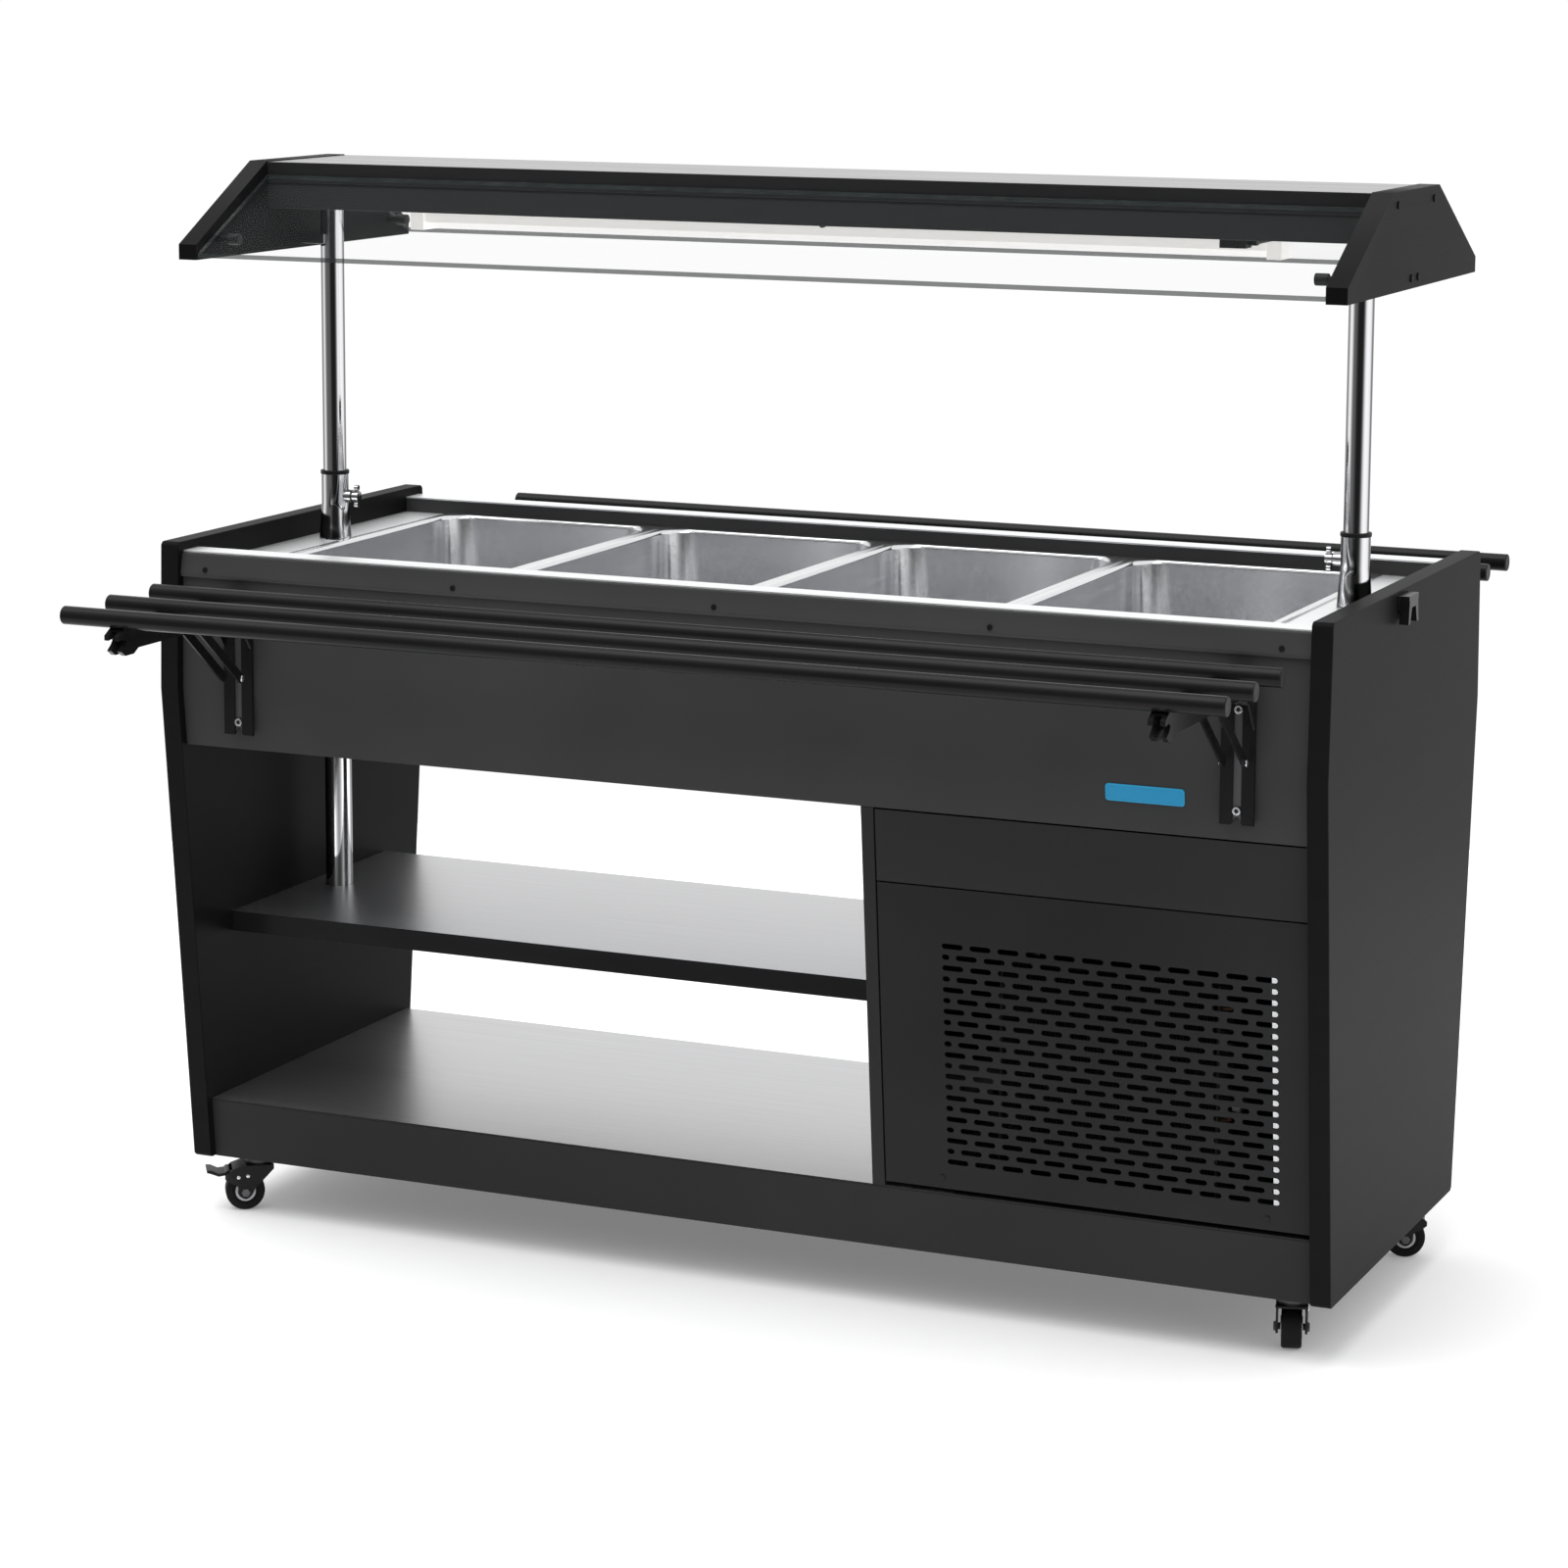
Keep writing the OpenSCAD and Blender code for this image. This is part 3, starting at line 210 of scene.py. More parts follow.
def moulded(name, colour, roughness, grain=1800.0, depth=0.00004, ior=1.45):
    """Moulded plastic with a fine even texture."""
    s = Shader(name, colour, roughness, IOR=ior)
    s.colour(s.noise(12.0, 3.0), tuple(c * 0.85 for c in colour), tuple(min(1.0, c * 1.2) for c in colour))
    s.rough(s.noise(20.0, 3.0), max(0.03, roughness - 0.06), roughness + 0.06)
    return s.bump(s.noise(grain, 2.0), depth, 0.4).material


def clear_glass():
    s = Shader("clear_glass", (0.1, 0.12, 0.12), 0.02, Alpha=0.035, IOR=1.5)
    return s.rough(s.noise(4.0, 2.0), 0.01, 0.04).material


def glass_edge():
    """The polished edge of a pane, dark and slightly green."""
    s = Shader("glass_edge", (0.05, 0.058, 0.057), 0.25, Alpha=0.8, IOR=1.3)
    return s.colour(s.noise(60.0, 2.0), (0.035, 0.042, 0.041), (0.06, 0.07, 0.069)).material


def opal():
    """Lit diffuser of the lamp."""
    s = Shader("opal_diffuser", (0.9, 0.9, 0.88), 0.35, Emission_Strength=0.5)
    s.bsdf.inputs["Emission Color"].default_value = (1.0, 0.98, 0.95, 1)
    return s.colour(s.noise(80.0, 2.0), (0.86, 0.86, 0.84), (0.94, 0.94, 0.92)).material


def copper(name="copper_tube", dark=(0.42, 0.2, 0.13), light=(0.8, 0.42, 0.27)):
    s = Shader(name, light, 0.3, 1.0)
    s.colour(s.noise(25.0, 4.0), dark, light)
    return s.rough(s.noise(40.0, 3.0), 0.22, 0.42).material


def foam(name="foam", dark=(0.62, 0.5, 0.28), light=(0.8, 0.69, 0.44)):
    s = Shader(name, light, 0.95)
    s.colour(s.noise(60.0, 4.0), dark, light)
    return s.bump(s.noise(400.0, 3.0), 0.0008, 0.8).material


def galvanised():
    s = Shader("galvanised", (0.55, 0.57, 0.6), 0.42, 0.9)
    cells = s.add("ShaderNodeTexVoronoi")
    cells.inputs["Scale"].default_value = 90.0
    s.link(s.place, cells.inputs["Vector"])
    s.colour(cells.outputs["Distance"], (0.5, 0.52, 0.55), (0.68, 0.7, 0.73), 0.1, 0.6)
    return s.rough(cells.outputs["Distance"], 0.35, 0.52, 0.1, 0.6).material


MATERIALS = {
    "end_panel_board": laminate(tone=0.0085, ior=1.085),
    "black_sheet": powder_coat("black_sheet", (0.041, 0.041, 0.042), 0.42, 1.14),
    "shelf_sheet": gloss_sheet(ior=1.15),
    "fascia_moulding": powder_coat("fascia_black", (0.042, 0.042, 0.043), 0.42, 1.2),
    "worktop_steel": brushed("worktop_steel", (0.93, 0.94, 0.95), 0.34, (8, 700, 700), 0.03, metallic=0.7),
    "tank_steel": brushed("tank_steel", (0.5, 0.51, 0.53), 0.35, (8, 900, 900)),
    "pan_steel": brushed("pan_steel", (0.78, 0.785, 0.8), 0.18, (300, 6, 300), 0.03, metallic=0.97),
    "foam": foam(),
    "casing_sheet": galvanised(),
    "copper": copper(),
    "valve_red": powder_coat("valve_red", (0.5, 0.03, 0.025), 0.35),
    "machine_black": powder_coat("machine_black", (0.02, 0.02, 0.022), 0.32, 1.5, 300.0, 0.0001),
    # Painted shade: the condenser fins are near black for the dark seen through the grille slots.
    "fin_aluminium": powder_coat("fin_painted_shade", (0.012, 0.012, 0.013), 0.5, 1.3),
    "fan_plastic": moulded("fan_plastic", (0.04, 0.04, 0.043), 0.45),
    "chrome_tube": chrome("chrome_tube"),
    "black_plastic": moulded("black_plastic", (0.012, 0.012, 0.0125), 0.45, ior=1.25),
    "lamp_body": opal(),
    "switch_green": moulded("switch_green", (0.02, 0.3, 0.1), 0.25),
    "canopy_aluminium": powder_coat("canopy_black", (0.019, 0.019, 0.02), 0.32, 1.2),
    "clear_glass": clear_glass(),
    "black_steel": powder_coat("black_steel", (0.008, 0.008, 0.0083), 0.27, 1.22, 900.0, 0.00001),
    "screw_steel": brushed("screw_steel", (0.78, 0.79, 0.81), 0.25, (500, 500, 500)),
    "caster_black": powder_coat("caster_black", (0.009, 0.009, 0.0095), 0.34, 1.25),
    "caster_rubber": moulded("caster_rubber", (0.01, 0.01, 0.01), 0.6, 700.0, 0.00008, 1.2),
}
GLASS_EDGE = glass_edge()
# Painted shade: a near-black mat behind the grille stands for the dark behind the slots.
SHADE_MAT = foam("painted_shade_mat", (0.006, 0.006, 0.0065), (0.014, 0.014, 0.015))
HUB_GREY = moulded("hub_grey", (0.5, 0.5, 0.52), 0.4)
DARK_WINDOW = moulded("dark_window", (0.008, 0.008, 0.01), 0.08)
BADGE_BLUE = powder_coat("badge_blue", (0.004, 0.15, 0.34), 0.4, 1.3)
BADGE_RIM = powder_coat("badge_rim", (0.02, 0.3, 0.56), 0.35, 1.3)
# Painted shade: a near-black copy of the coat for the edge faces of the canopy end plates.
SHADED_PLATE_EDGE = powder_coat("plate_edge_painted_shade", (0.004, 0.004, 0.0042), 0.4, 1.12)
# Painted shade: a darker copy of black_sheet for the lower sheets, base tray sides, divider, infill and grille.
SHADED_SHEET = powder_coat("black_sheet_shaded", (0.022, 0.022, 0.0225), 0.42, 1.13)
# Painted shade: near-black copper for the condenser bends behind the grille.
SHADED_COPPER = copper("copper_painted_shade", (0.03, 0.017, 0.012), (0.07, 0.038, 0.026))
# Painted shade: the caster plates' zinc is darkened to near black.
SHADED_PLATE_ZINC = brushed("zinc_painted_shade", (0.07, 0.07, 0.074), 0.45, (200, 200, 200), metallic=0.8)
AXLE_NUT = powder_coat("axle_nut", (0.06, 0.06, 0.063), 0.3)
# Painted shade: a darker copy of the laminate for the inward faces of the end panels.
SHADED_INNER_BOARD = laminate("inner_board_shaded", 0.006, 1.1)
# Painted reflection: the tops of the black shelves take a pale metal to show a bright sweep of the backdrop.
REFLECTION_SHELF_TOP = brushed("shelf_top_painted_reflection", (0.64, 0.64, 0.65), 0.33, (3, 260, 260), 0.04, 0.00001, 0.93)
# Painted highlight: a lighter grey strip down the middle of each tray channel for the lit line in its groove.
CHANNEL_HIGHLIGHT = brushed("channel_painted_highlight", (0.1, 0.1, 0.104), 0.35, (500, 500, 8), metallic=0.6)
# Painted light: a white rail behind the grille that glows, though it is no lamp.
GLOW_RAIL = moulded("painted_glow_rail", (0.85, 0.86, 0.87), 0.4)
rail_glow = GLOW_RAIL.node_tree.nodes["Principled BSDF"].inputs
rail_glow["Emission Color"].default_value = (0.95, 0.97, 1.0, 1)
rail_glow["Emission Strength"].default_value = 0.6
KEY_GREY = moulded("key_grey", (0.2, 0.22, 0.24), 0.45)
BLACK_SCREW = powder_coat("black_screw", (0.006, 0.006, 0.0065), 0.3, 1.3)
BEAM_TOP = gloss_sheet("beam_top", 0.14, 0.24, 1.8)


# ---- Mesh helpers ----

def made(name, mesh, node, material=None, replaces=()):
    """A piece from a finished mesh, riding with the given CAD node's body and finished in its slot."""
    piece = bpy.data.objects.new(name, mesh)
    scene.collection.objects.link(piece)
    slot = SLOT_OF[node]
    if not mesh.materials:
        mesh.materials.append(material or MATERIALS[slot])
    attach(piece, BODY_OF[node])
    if replaces:
        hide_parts(*replaces)
    return piece


def weighted(rough):
    """The mesh with its shading normals led by its larger faces, so that flat faces look flat."""
    holder = bpy.data.objects.new("shading", rough)
    scene.collection.objects.link(holder)
    normals = holder.modifiers.new("normals", "WEIGHTED_NORMAL")
    normals.keep_sharp = True
    normals.weight = 100
    mesh = bpy.data.meshes.new_from_object(holder.evaluated_get(bpy.context.evaluated_depsgraph_get()))
    mesh.name = rough.name
    bpy.data.objects.remove(holder)
    bpy.data.meshes.remove(rough)
    return mesh


def finished(bm, name, node, material=None, replaces=(), angle=32, extra=None, choose=None):
    """Turns a bmesh into a smooth-shaded piece; choose(face) picks which faces take the extra material."""
    bmesh.ops.recalc_face_normals(bm, faces=bm.faces)
    for face in bm.faces:
        face.smooth = True
        if choose and choose(face):
            face.material_index = 1
    for edge in bm.edges:
        edge.smooth = len(edge.link_faces) == 2 and edge.calc_face_angle(0) < math.radians(angle)
    rough = bpy.data.meshes.new(name)
    bm.to_mesh(rough)
    bm.free()
    mesh = weighted(rough)
    if extra:
        mesh.materials.append(material or MATERIALS[SLOT_OF[node]])
        mesh.materials.append(extra)
    return made(name, mesh, node, material, replaces)


def from_node(node):
    """The CAD node's mesh, welded and with its flat faces joined up again."""
    bm = bmesh.new()
    bm.from_mesh(NODES[node].data)
    bmesh.ops.remove_doubles(bm, verts=bm.verts, dist=0.00001)
    bmesh.ops.dissolve_limit(bm, angle_limit=math.radians(0.3), verts=bm.verts, edges=bm.edges)
    return bm


def soften(bm, width, angle=40, segments=2):
    """Rounds the edges that are sharper than an angle."""
    edges = [e for e in bm.edges if len(e.link_faces) == 2 and e.calc_face_angle(0) > math.radians(angle)]
    bmesh.ops.bevel(
        bm, geom=edges, offset=width, segments=segments, profile=0.5, affect="EDGES", clamp_overlap=True
    )


def refined(node, width, extra=None, choose=None, material=None):
    """Replaces a CAD node by a copy with rounded edges and smooth round faces."""
    bm = from_node(node)
    if width:
        soften(bm, width)
    return finished(bm, node + "_finish", node, material, (node,), extra=extra, choose=choose)


def lofted(bm, rings, cap_start=False, cap_end=False):
    """Skins between rings of equal length."""
    rows = [[bm.verts.new(p) for p in ring] for ring in rings]
    count = len(rows[0])
    for low, high in zip(rows, rows[1:]):
        for i in range(count):
            j = (i + 1) % count
            bm.faces.new((low[i], low[j], high[j], high[i]))
    if cap_start:
        bm.faces.new(list(reversed(rows[0])))
    if cap_end:
        bm.faces.new(rows[-1])


def turned(bm, profile, place, steps=40, caps=True):
    """Revolves (radius, height) steps round the local Z axis of a placing matrix."""
    rings = [
        [place @ Vector((r * math.cos(k * math.tau / steps), r * math.sin(k * math.tau / steps), h))
         for k in range(steps)]
        for r, h in profile
    ]
    lofted(bm, rings, caps, caps)


def prism(bm, outline, place, depth):
    """Extrudes a flat outline along the local Z axis of a placing matrix."""
    lofted(bm, [[place @ Vector((x, y, h)) for x, y in outline] for h in (0.0, depth)], True, True)


def box(bm, low, high):
    outline = [(low[0], low[1]), (high[0], low[1]), (high[0], high[1]), (low[0], high[1])]
    prism(bm, outline, Matrix.Translation((0, 0, low[2])), high[2] - low[2])


def facing(point, direction):
    """A placing matrix at a point with its Z axis along a direction."""
    return Matrix.Translation(point) @ Vector(direction).to_track_quat("Z", "Y").to_matrix().to_4x4()


def dome(radius, height, steps=5):
    """Profile of a low round head."""
    curve = [(radius * math.cos(k / steps * math.pi / 2), height * math.sin(k / steps * math.pi / 2))
             for k in range(1, steps)]
    return [(radius, -height)] + [(radius, 0.0)] + curve + [(radius * 0.05, height)]


# ---- CAD nodes that keep their shape and get rounded edges ----

def top_face(face):
    return face.normal.z > 0.9


def tray_top(face):
    centre = face.calc_center_median()
    return face.normal.z > 0.9 and centre.z > TRAY_TOP_Z and centre.x < BAY_END_X


def lamp_black(face):
    return face.calc_center_median().y < 0.018


def end_edge(face):
    return abs(face.normal.x) < 0.5 and face.normal.z < 0.95


def channel_middle(face):
    centre = face.calc_center_median()
    return abs(abs(centre.x) - BRACKET_X) < 0.0052 and centre.z < 0.772 and abs(face.normal.y) > 0.9


def channel_bolt(face):
    centre = face.calc_center_median()
    return centre.z < 0.8 and abs(abs(centre.x) - BRACKET_X) < 0.02


def key_face(face):
    return face.normal.y > 0.9 and face.calc_area() < 0.0002


FINE = {
    "aprons": 0.7,
    "fascias": 0.6, "worktop": 0.4, "pan_bars": 0.8, "compressor": 1.2, "condenser": 0.6, "fan_blades": 0.4,
    "post_sleeves": 0.3, "sleeve_rings": 0.8, "side_hooks": 0.9, "power_inlet": 0.3,
    "post_knob_left": 0.5, "post_knob_right": 0.5, "upper_posts": 0.3,
    "front_tray_rack": 0.5, "front_tray_braces": 0.4, "rear_tray_rack": 0.5,
    "rear_tray_braces": 0.4, "drain_lever": 0.6, "drain_pipe": 0.5, "lamp_switch": 0.4, "power_switch": 0.6,
}
for node, width in FINE.items():
    refined(node, width * MM)
for node in NODES:
    if node.startswith("caster_fork"):
        refined(node, 0.7 * MM)
    elif node.startswith("caster_brake"):
        refined(node, 0.6 * MM)
    elif node.startswith("glass_knob"):
        refined(node, 1.0 * MM)
# Inward faces of the end panels take the darker laminate as painted shade.
refined("left_end_panel", 1.5 * MM, SHADED_INNER_BOARD, lambda face: face.normal.x > 0.9)
refined("right_end_panel", 1.5 * MM, SHADED_INNER_BOARD, lambda face: face.normal.x < -0.9)
# Shelf and tray tops take the pale metal as a painted reflection.
refined("mid_shelf", 0.6 * MM, REFLECTION_SHELF_TOP, top_face)
# Base tray sides, divider and infill take the darker copy of black_sheet as painted shade.
refined("base_tray", 0.6 * MM, REFLECTION_SHELF_TOP, tray_top, SHADED_SHEET)
refined("divider_panel", 0.8 * MM, material=SHADED_SHEET)
# Caster plates take the darkened zinc as painted shade.
refined("caster_plates", 0.6 * MM, material=SHADED_PLATE_ZINC)
refined("infill_panel", 0.6 * MM, material=SHADED_SHEET)
# The end plates' edge faces take the near-black copy as painted shade.
refined("canopy_end_plates", 0.7 * MM, SHADED_PLATE_EDGE, end_edge)
# The channels' middle faces take the painted highlight strip.
refined("tray_channels", 0.5 * MM, CHANNEL_HIGHLIGHT, channel_middle)
refined("canopy_beam", 0.8 * MM, BEAM_TOP, top_face)
refined("lamp", 1.0 * MM, MATERIALS["black_plastic"], lamp_black)
refined("control_box", 0.5 * MM, KEY_GREY, key_face)
refined("fixing_screws", 0.6 * MM, BLACK_SCREW, lambda face: not channel_bolt(face))
refined("glass_panels", 0.0, GLASS_EDGE, lambda face: face.calc_area() < 0.02)

for name, piece in NODES.items():
    piece.data.materials.clear()
    piece.data.materials.append(MATERIALS[SLOT_OF[name]])


# ---- Pans ----

def rounded_ring(half_w, half_d, radius, z, corner_steps=12):
    """Points of a rounded rectangle at height z, counter-clockwise."""
    ring = []
    for quarter, (sx, sy) in enumerate(((1, 1), (-1, 1), (-1, -1), (1, -1))):
        for step in range(corner_steps + 1):
            turn = (quarter + step / corner_steps) * math.pi / 2
            ring.append(Vector((
                sx * (half_w - radius) + radius * math.cos(turn),
                sy * (half_d - radius) + radius * math.sin(turn),
                z,
            )))
    return ring


def pan_section(half_w, half_d, depth):
    """Inside of a pan from its rim's turned-down edge to its floor."""
    edge_r, rim_r, floor_r = 0.8 * MM, 5 * MM, 28 * MM
    wall_in, taper, corner = 13.5 * MM, 6 * MM, 46 * MM
    steps = [(0.0, -2.2 * MM, 14 * MM), (0.0, -edge_r, 14 * MM)]
    for k in range(1, 4):
        a = k / 3 * math.pi / 2
        steps.append((edge_r * (1 - math.cos(a)), -edge_r * (1 - math.sin(a)), 14 * MM))
    steps.append((wall_in - rim_r, 0.0, 20 * MM))
    for k in range(1, 6):
        a = k / 5 * math.pi / 2
        radius = (20 + 18 * k / 5) * MM
        steps.append((wall_in - rim_r + rim_r * math.sin(a), -rim_r * (1 - math.cos(a)), radius))
    steps.append((wall_in + taper, -depth + floor_r, corner))
    for k in range(1, 9):
        a = k / 8 * math.pi / 2
        inset = wall_in + taper + floor_r * (1 - math.cos(a))
        steps.append((inset, -depth + floor_r * (1 - math.sin(a)), corner))
    return [rounded_ring(half_w - inset, half_d - inset, r, z) for inset, z, r in steps]


def pan(node):
    low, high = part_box(node)
    centre = Vector(((low.x + high.x) / 2, (low.y + high.y) / 2, high.z))
    bm = bmesh.new()
    lofted(bm, pan_section((high.x - low.x) / 2, (high.y - low.y) / 2, high.z - low.z - 1 * MM), cap_end=True)
    bmesh.ops.recalc_face_normals(bm, faces=bm.faces)
    bmesh.ops.solidify(bm, geom=bm.faces[:], thickness=0.9 * MM)
    bmesh.ops.translate(bm, verts=bm.verts, vec=centre)
    return finished(bm, node + "_drawn", node, replaces=(node,), angle=50)


for i in range(1, 5):
    pan(f"pan_{i}")


# ---- Ventilation grille ----

SKIN_SLOPE = 60 / 615
LEAN = math.atan(SKIN_SLOPE)


def front_y(z):
    """Y of the leaning front skin at height z, below the cabinet's widest line."""
    return -(0.248 + SKIN_SLOPE * (z - 0.075))


def on_skin(x, z, out=0.0):
    """A placing matrix on the front skin: local X along the counter, local Z out of it."""
    tilt = Matrix.Rotation(math.pi / 2 + LEAN, 4, "X")
    return Matrix.Translation((x, front_y(z), z)) @ tilt @ Matrix.Translation((0, 0, out))


def stadium(x0, x1, z, height):
    """Outline of a slot with round ends."""
    r = height / 2
    points = []
    for centre, start in ((x1 - r, -90), (x0 + r, 90)):
        for k in range(7):
            a = math.radians(start + 30 * k)
            points.append((centre + r * math.cos(a), z + r * math.sin(a)))
    return points


def slots():
    """Every slot of the staggered pattern as (x0, x1, z)."""
    x0, z0, width, short = 0.281, 0.192, 0.026, 0.009
    pitch_x, pitch_z = 0.0345, 0.01325
    for row in range(21):
        z = z0 + row * pitch_z
        if row % 2 == 0:
            for col in range(12):
                yield x0 + col * pitch_x, x0 + col * pitch_x + width, z
            continue
        yield x0, x0 + short, z
        for col in range(11):
            start = x0 + (col + 0.5) * pitch_x
            yield start, start + width, z
        end = x0 + 11.5 * pitch_x
        yield end, end + short, z


def grille():
    low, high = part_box("vent_grille")
    base = low.z
    up = 1 / math.cos(LEAN)
    thickness, round_off = 2 * MM, 0.35 * MM
    curve = bpy.data.curves.new("grille_outline", "CURVE")
    curve.dimensions = "2D"
    curve.fill_mode = "BOTH"
    curve.extrude = thickness / 2 - round_off
    curve.bevel_depth = round_off
    curve.bevel_resolution = 1
    curve.offset = -round_off
    outlines = [[(low.x, 0), (high.x, 0), (high.x, (high.z - base) * up), (low.x, (high.z - base) * up)]]
    outlines += [stadium(x0, x1, (z - base) * up, SLOT_HEIGHT) for x0, x1, z in slots()]
    for outline in outlines:
        spline = curve.splines.new("POLY")
        spline.points.add(len(outline) - 1)
        spline.use_cyclic_u = True
        for point, (x, y) in zip(spline.points, outline):
            point.co = (x, y, 0, 1)
    holder = bpy.data.objects.new("grille_outline", curve)
    scene.collection.objects.link(holder)
    flat = bpy.data.meshes.new_from_object(holder.evaluated_get(bpy.context.evaluated_depsgraph_get()))
    bpy.data.objects.remove(holder)
    bm = bmesh.new()
    bm.from_mesh(flat)
    bpy.data.meshes.remove(flat)
    bmesh.ops.remove_doubles(bm, verts=bm.verts, dist=0.000005)
    bmesh.ops.transform(bm, matrix=on_skin(0, base, -thickness / 2), verts=bm.verts)
    lip, sheet = 15 * MM, 2 * MM
    side = [(0, 0), (0, (high.z - base) * up), (-lip, (high.z - base) * up), (-lip, 0)]
    for x in (low.x, high.x - sheet):
        turn = on_skin(x, base, -thickness) @ Matrix.Rotation(math.pi / 2, 4, "Y")
        prism(bm, [(-z, y) for z, y in side], turn, sheet)
    for z in (base, high.z - sheet):
        outline = [(low.x, 0), (high.x, 0), (high.x, sheet), (low.x, sheet)]
        prism(bm, outline, on_skin(0, z, -lip), lip - thickness)
    # The grille takes the darker copy of black_sheet as painted shade.
    return finished(bm, "vent_grille_pressed", "vent_grille", SHADED_SHEET, ("vent_grille",), 40)


grille()


def behind_grille():
    """An upright rail behind the grille that glows as painted light, a near-black mat of painted shade, and the
    condenser's fins and tube bends darkened as painted shade.
    """
    bm = bmesh.new()
    prism(bm, [(0, 0), (14 * MM, 0), (14 * MM, 0.3), (0, 0.3)], on_skin(0.6775, 0.18, -9 * MM), 1 * MM)
    prism(bm, [(0, 0), (1 * MM, 0), (1 * MM, 0.3), (0, 0.3)], on_skin(0.6905, 0.18, -20 * MM), 11 * MM)
    finished(bm, "grille_glow_rail", "well_casing", GLOW_RAIL)
    bm = bmesh.new()
    for k in range(2):
        tilt = Matrix.Translation((0, -front_y(0.18), 0.18)) @ Matrix.Rotation(math.pi / 2 - LEAN, 4, "X")
        outline = [(0.235, 0), (0.715, 0), (0.715, 0.31), (0.235, 0.31)]
        prism(bm, outline, tilt @ Matrix.Translation((0, 0, (16 + 4 * k) * MM)), 3.6 * MM)
    finished(bm, "painted_shade_mat", "rear_panel", SHADE_MAT)
    low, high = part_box("condenser")
    x0, x1, y0, y1 = low.x + 4 * MM, high.x - 4 * MM, low.y + 1 * MM, low.y + 49 * MM
    z0, z1 = low.z + 2 * MM, high.z - 2 * MM
    bm = bmesh.new()
    count = 66
    for k in range(count):
        x = x0 + (x1 - x0) * k / (count - 1)
        box(bm, (x - 0.2 * MM, y0, z0), (x + 0.2 * MM, y1, z1))
    finished(bm, "condenser_fins", "condenser")
    bm = bmesh.new()
    for row in range(6):
        z = low.z + (28 + row * 44) * MM
        for x, sign in ((low.x, -1), (low.x + 270 * MM, 1)):
            rings = []
            for k in range(9):
                a = math.pi * k / 8
                centre = Vector((x + sign * 12 * MM * math.sin(a), low.y + (25 - 12 * math.cos(a)) * MM, z))
                away = Vector((sign * math.sin(a), -math.cos(a), 0))
                rings.append([
                    centre + 4.5 * MM * (math.cos(b) * away + math.sin(b) * Vector((0, 0, 1)))
                    for b in [j * math.tau / 12 for j in range(12)]
                ])
            lofted(bm, rings, True, True)
    finished(bm, "condenser_bends", "condenser", SHADED_COPPER)


behind_grille()


# ---- Small visible parts ----

def rail_caps(node, side):
    """Plugs with a rounded rim in the ends of the three rails."""
    low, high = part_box(node)
    radius = RAIL_RADIUS
    profile = [
        (9.3 * MM, -8 * MM), (9.3 * MM, -0.2 * MM), (radius, -0.2 * MM), (radius, 0.6 * MM),
        (radius - 0.6 * MM, 1.5 * MM), (radius - 2.4 * MM, 2 * MM), (radius - 4 * MM, 1.6 * MM),
        (1 * MM, 1.6 * MM),
    ]
    bm = bmesh.new()
    for k in range(3):
        y = side * (0.58 - 0.097 * k)
        for x, out in ((low.x, -1), (high.x, 1)):
            turned(bm, profile, facing((x, y, high.z - radius), (out, 0, 0)))
    finished(bm, node + "_plugs", node, MATERIALS["black_plastic"])


rail_caps("front_tray_rack", -1)
rail_caps("rear_tray_rack", 1)


def bolt_rings():
    """Washers under the channel bolts' heads, and the rivets at both ends of the braces."""
    washer = [(5.6 * MM, 0), (5.6 * MM, 0.8 * MM), (5.2 * MM, 1.2 * MM), (4 * MM, 1.2 * MM)]
    socket = [(2.7 * MM, 2.2 * MM), (2.7 * MM, 3.06 * MM), (0.1 * MM, 3.06 * MM)]
    for side, body in ((-1, "front"), (1, "rear")):
        bm = bmesh.new()
        for end in (-1, 1):
            for z in CHANNEL_BOLT_Z:
                place = facing((end * BRACKET_X, side * 0.3108, z), (0, side, 0))
                turned(bm, washer, place)
                turned(bm, socket, place, 6)
        finished(bm, body + "_bolt_washers", "fixing_screws", BLACK_SCREW)
        bm = bmesh.new()
        pivot = JOINTS[body + "_brace_swing"]["pos_m"]
        for end in (-1, 1):
            for out in (-1, 1):
                place = facing((end * BRACKET_X + out * 14 * MM, pivot[1], pivot[2]), (out, 0, 0))
                turned(bm, dome(4.5 * MM, 1.6 * MM), place, 24)
        finished(bm, body + "_brace_rivets", body + "_tray_rack")
        bm = bmesh.new()
        for end in (-1, 1):
            for out in (-1, 1):
                place = facing((end * BRACKET_X + out * 15.5 * MM, side * 0.327, 0.711), (out, 0, 0))
                turned(bm, dome(4.5 * MM, 1.6 * MM), place, 24)
        finished(bm, body + "_brace_foot_rivets", body + "_tray_braces", MATERIALS["screw_steel"])


bolt_rings()


def badge():
    """A blank rounded badge low on the right of the front apron."""
    half_w, half_h, corner = 47 * MM, 10 * MM, 4 * MM
    bm = bmesh.new()
    rings = []
    for inset, height in ((0, 0), (0, 1.2), (0.5, 1.6), (1.6, 1.6), (1.9, 1.2)):
        ring = rounded_ring(half_w - inset * MM, half_h - inset * MM, corner, height * MM, 6)
        rings.append([on_skin(0.533, 0.661) @ p for p in ring])
    lofted(bm, rings, True, True)
    largest = max(bm.faces, key=lambda f: f.calc_area()).calc_area()
    finished(bm, "front_badge", "aprons", BADGE_RIM, extra=BADGE_BLUE,
             choose=lambda f: f.calc_area() > largest * 0.9)


badge()


def canopy_details():
    """A screw under the canopy's beam."""
    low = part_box("canopy_beam")[0]
    bm = bmesh.new()
    turned(bm, dome(4 * MM, 2.4 * MM), facing((0.042, low.y + 6 * MM, low.z), (0, 0, -1)), 24)
    finished(bm, "beam_screw", "canopy_beam", BLACK_SCREW)


canopy_details()


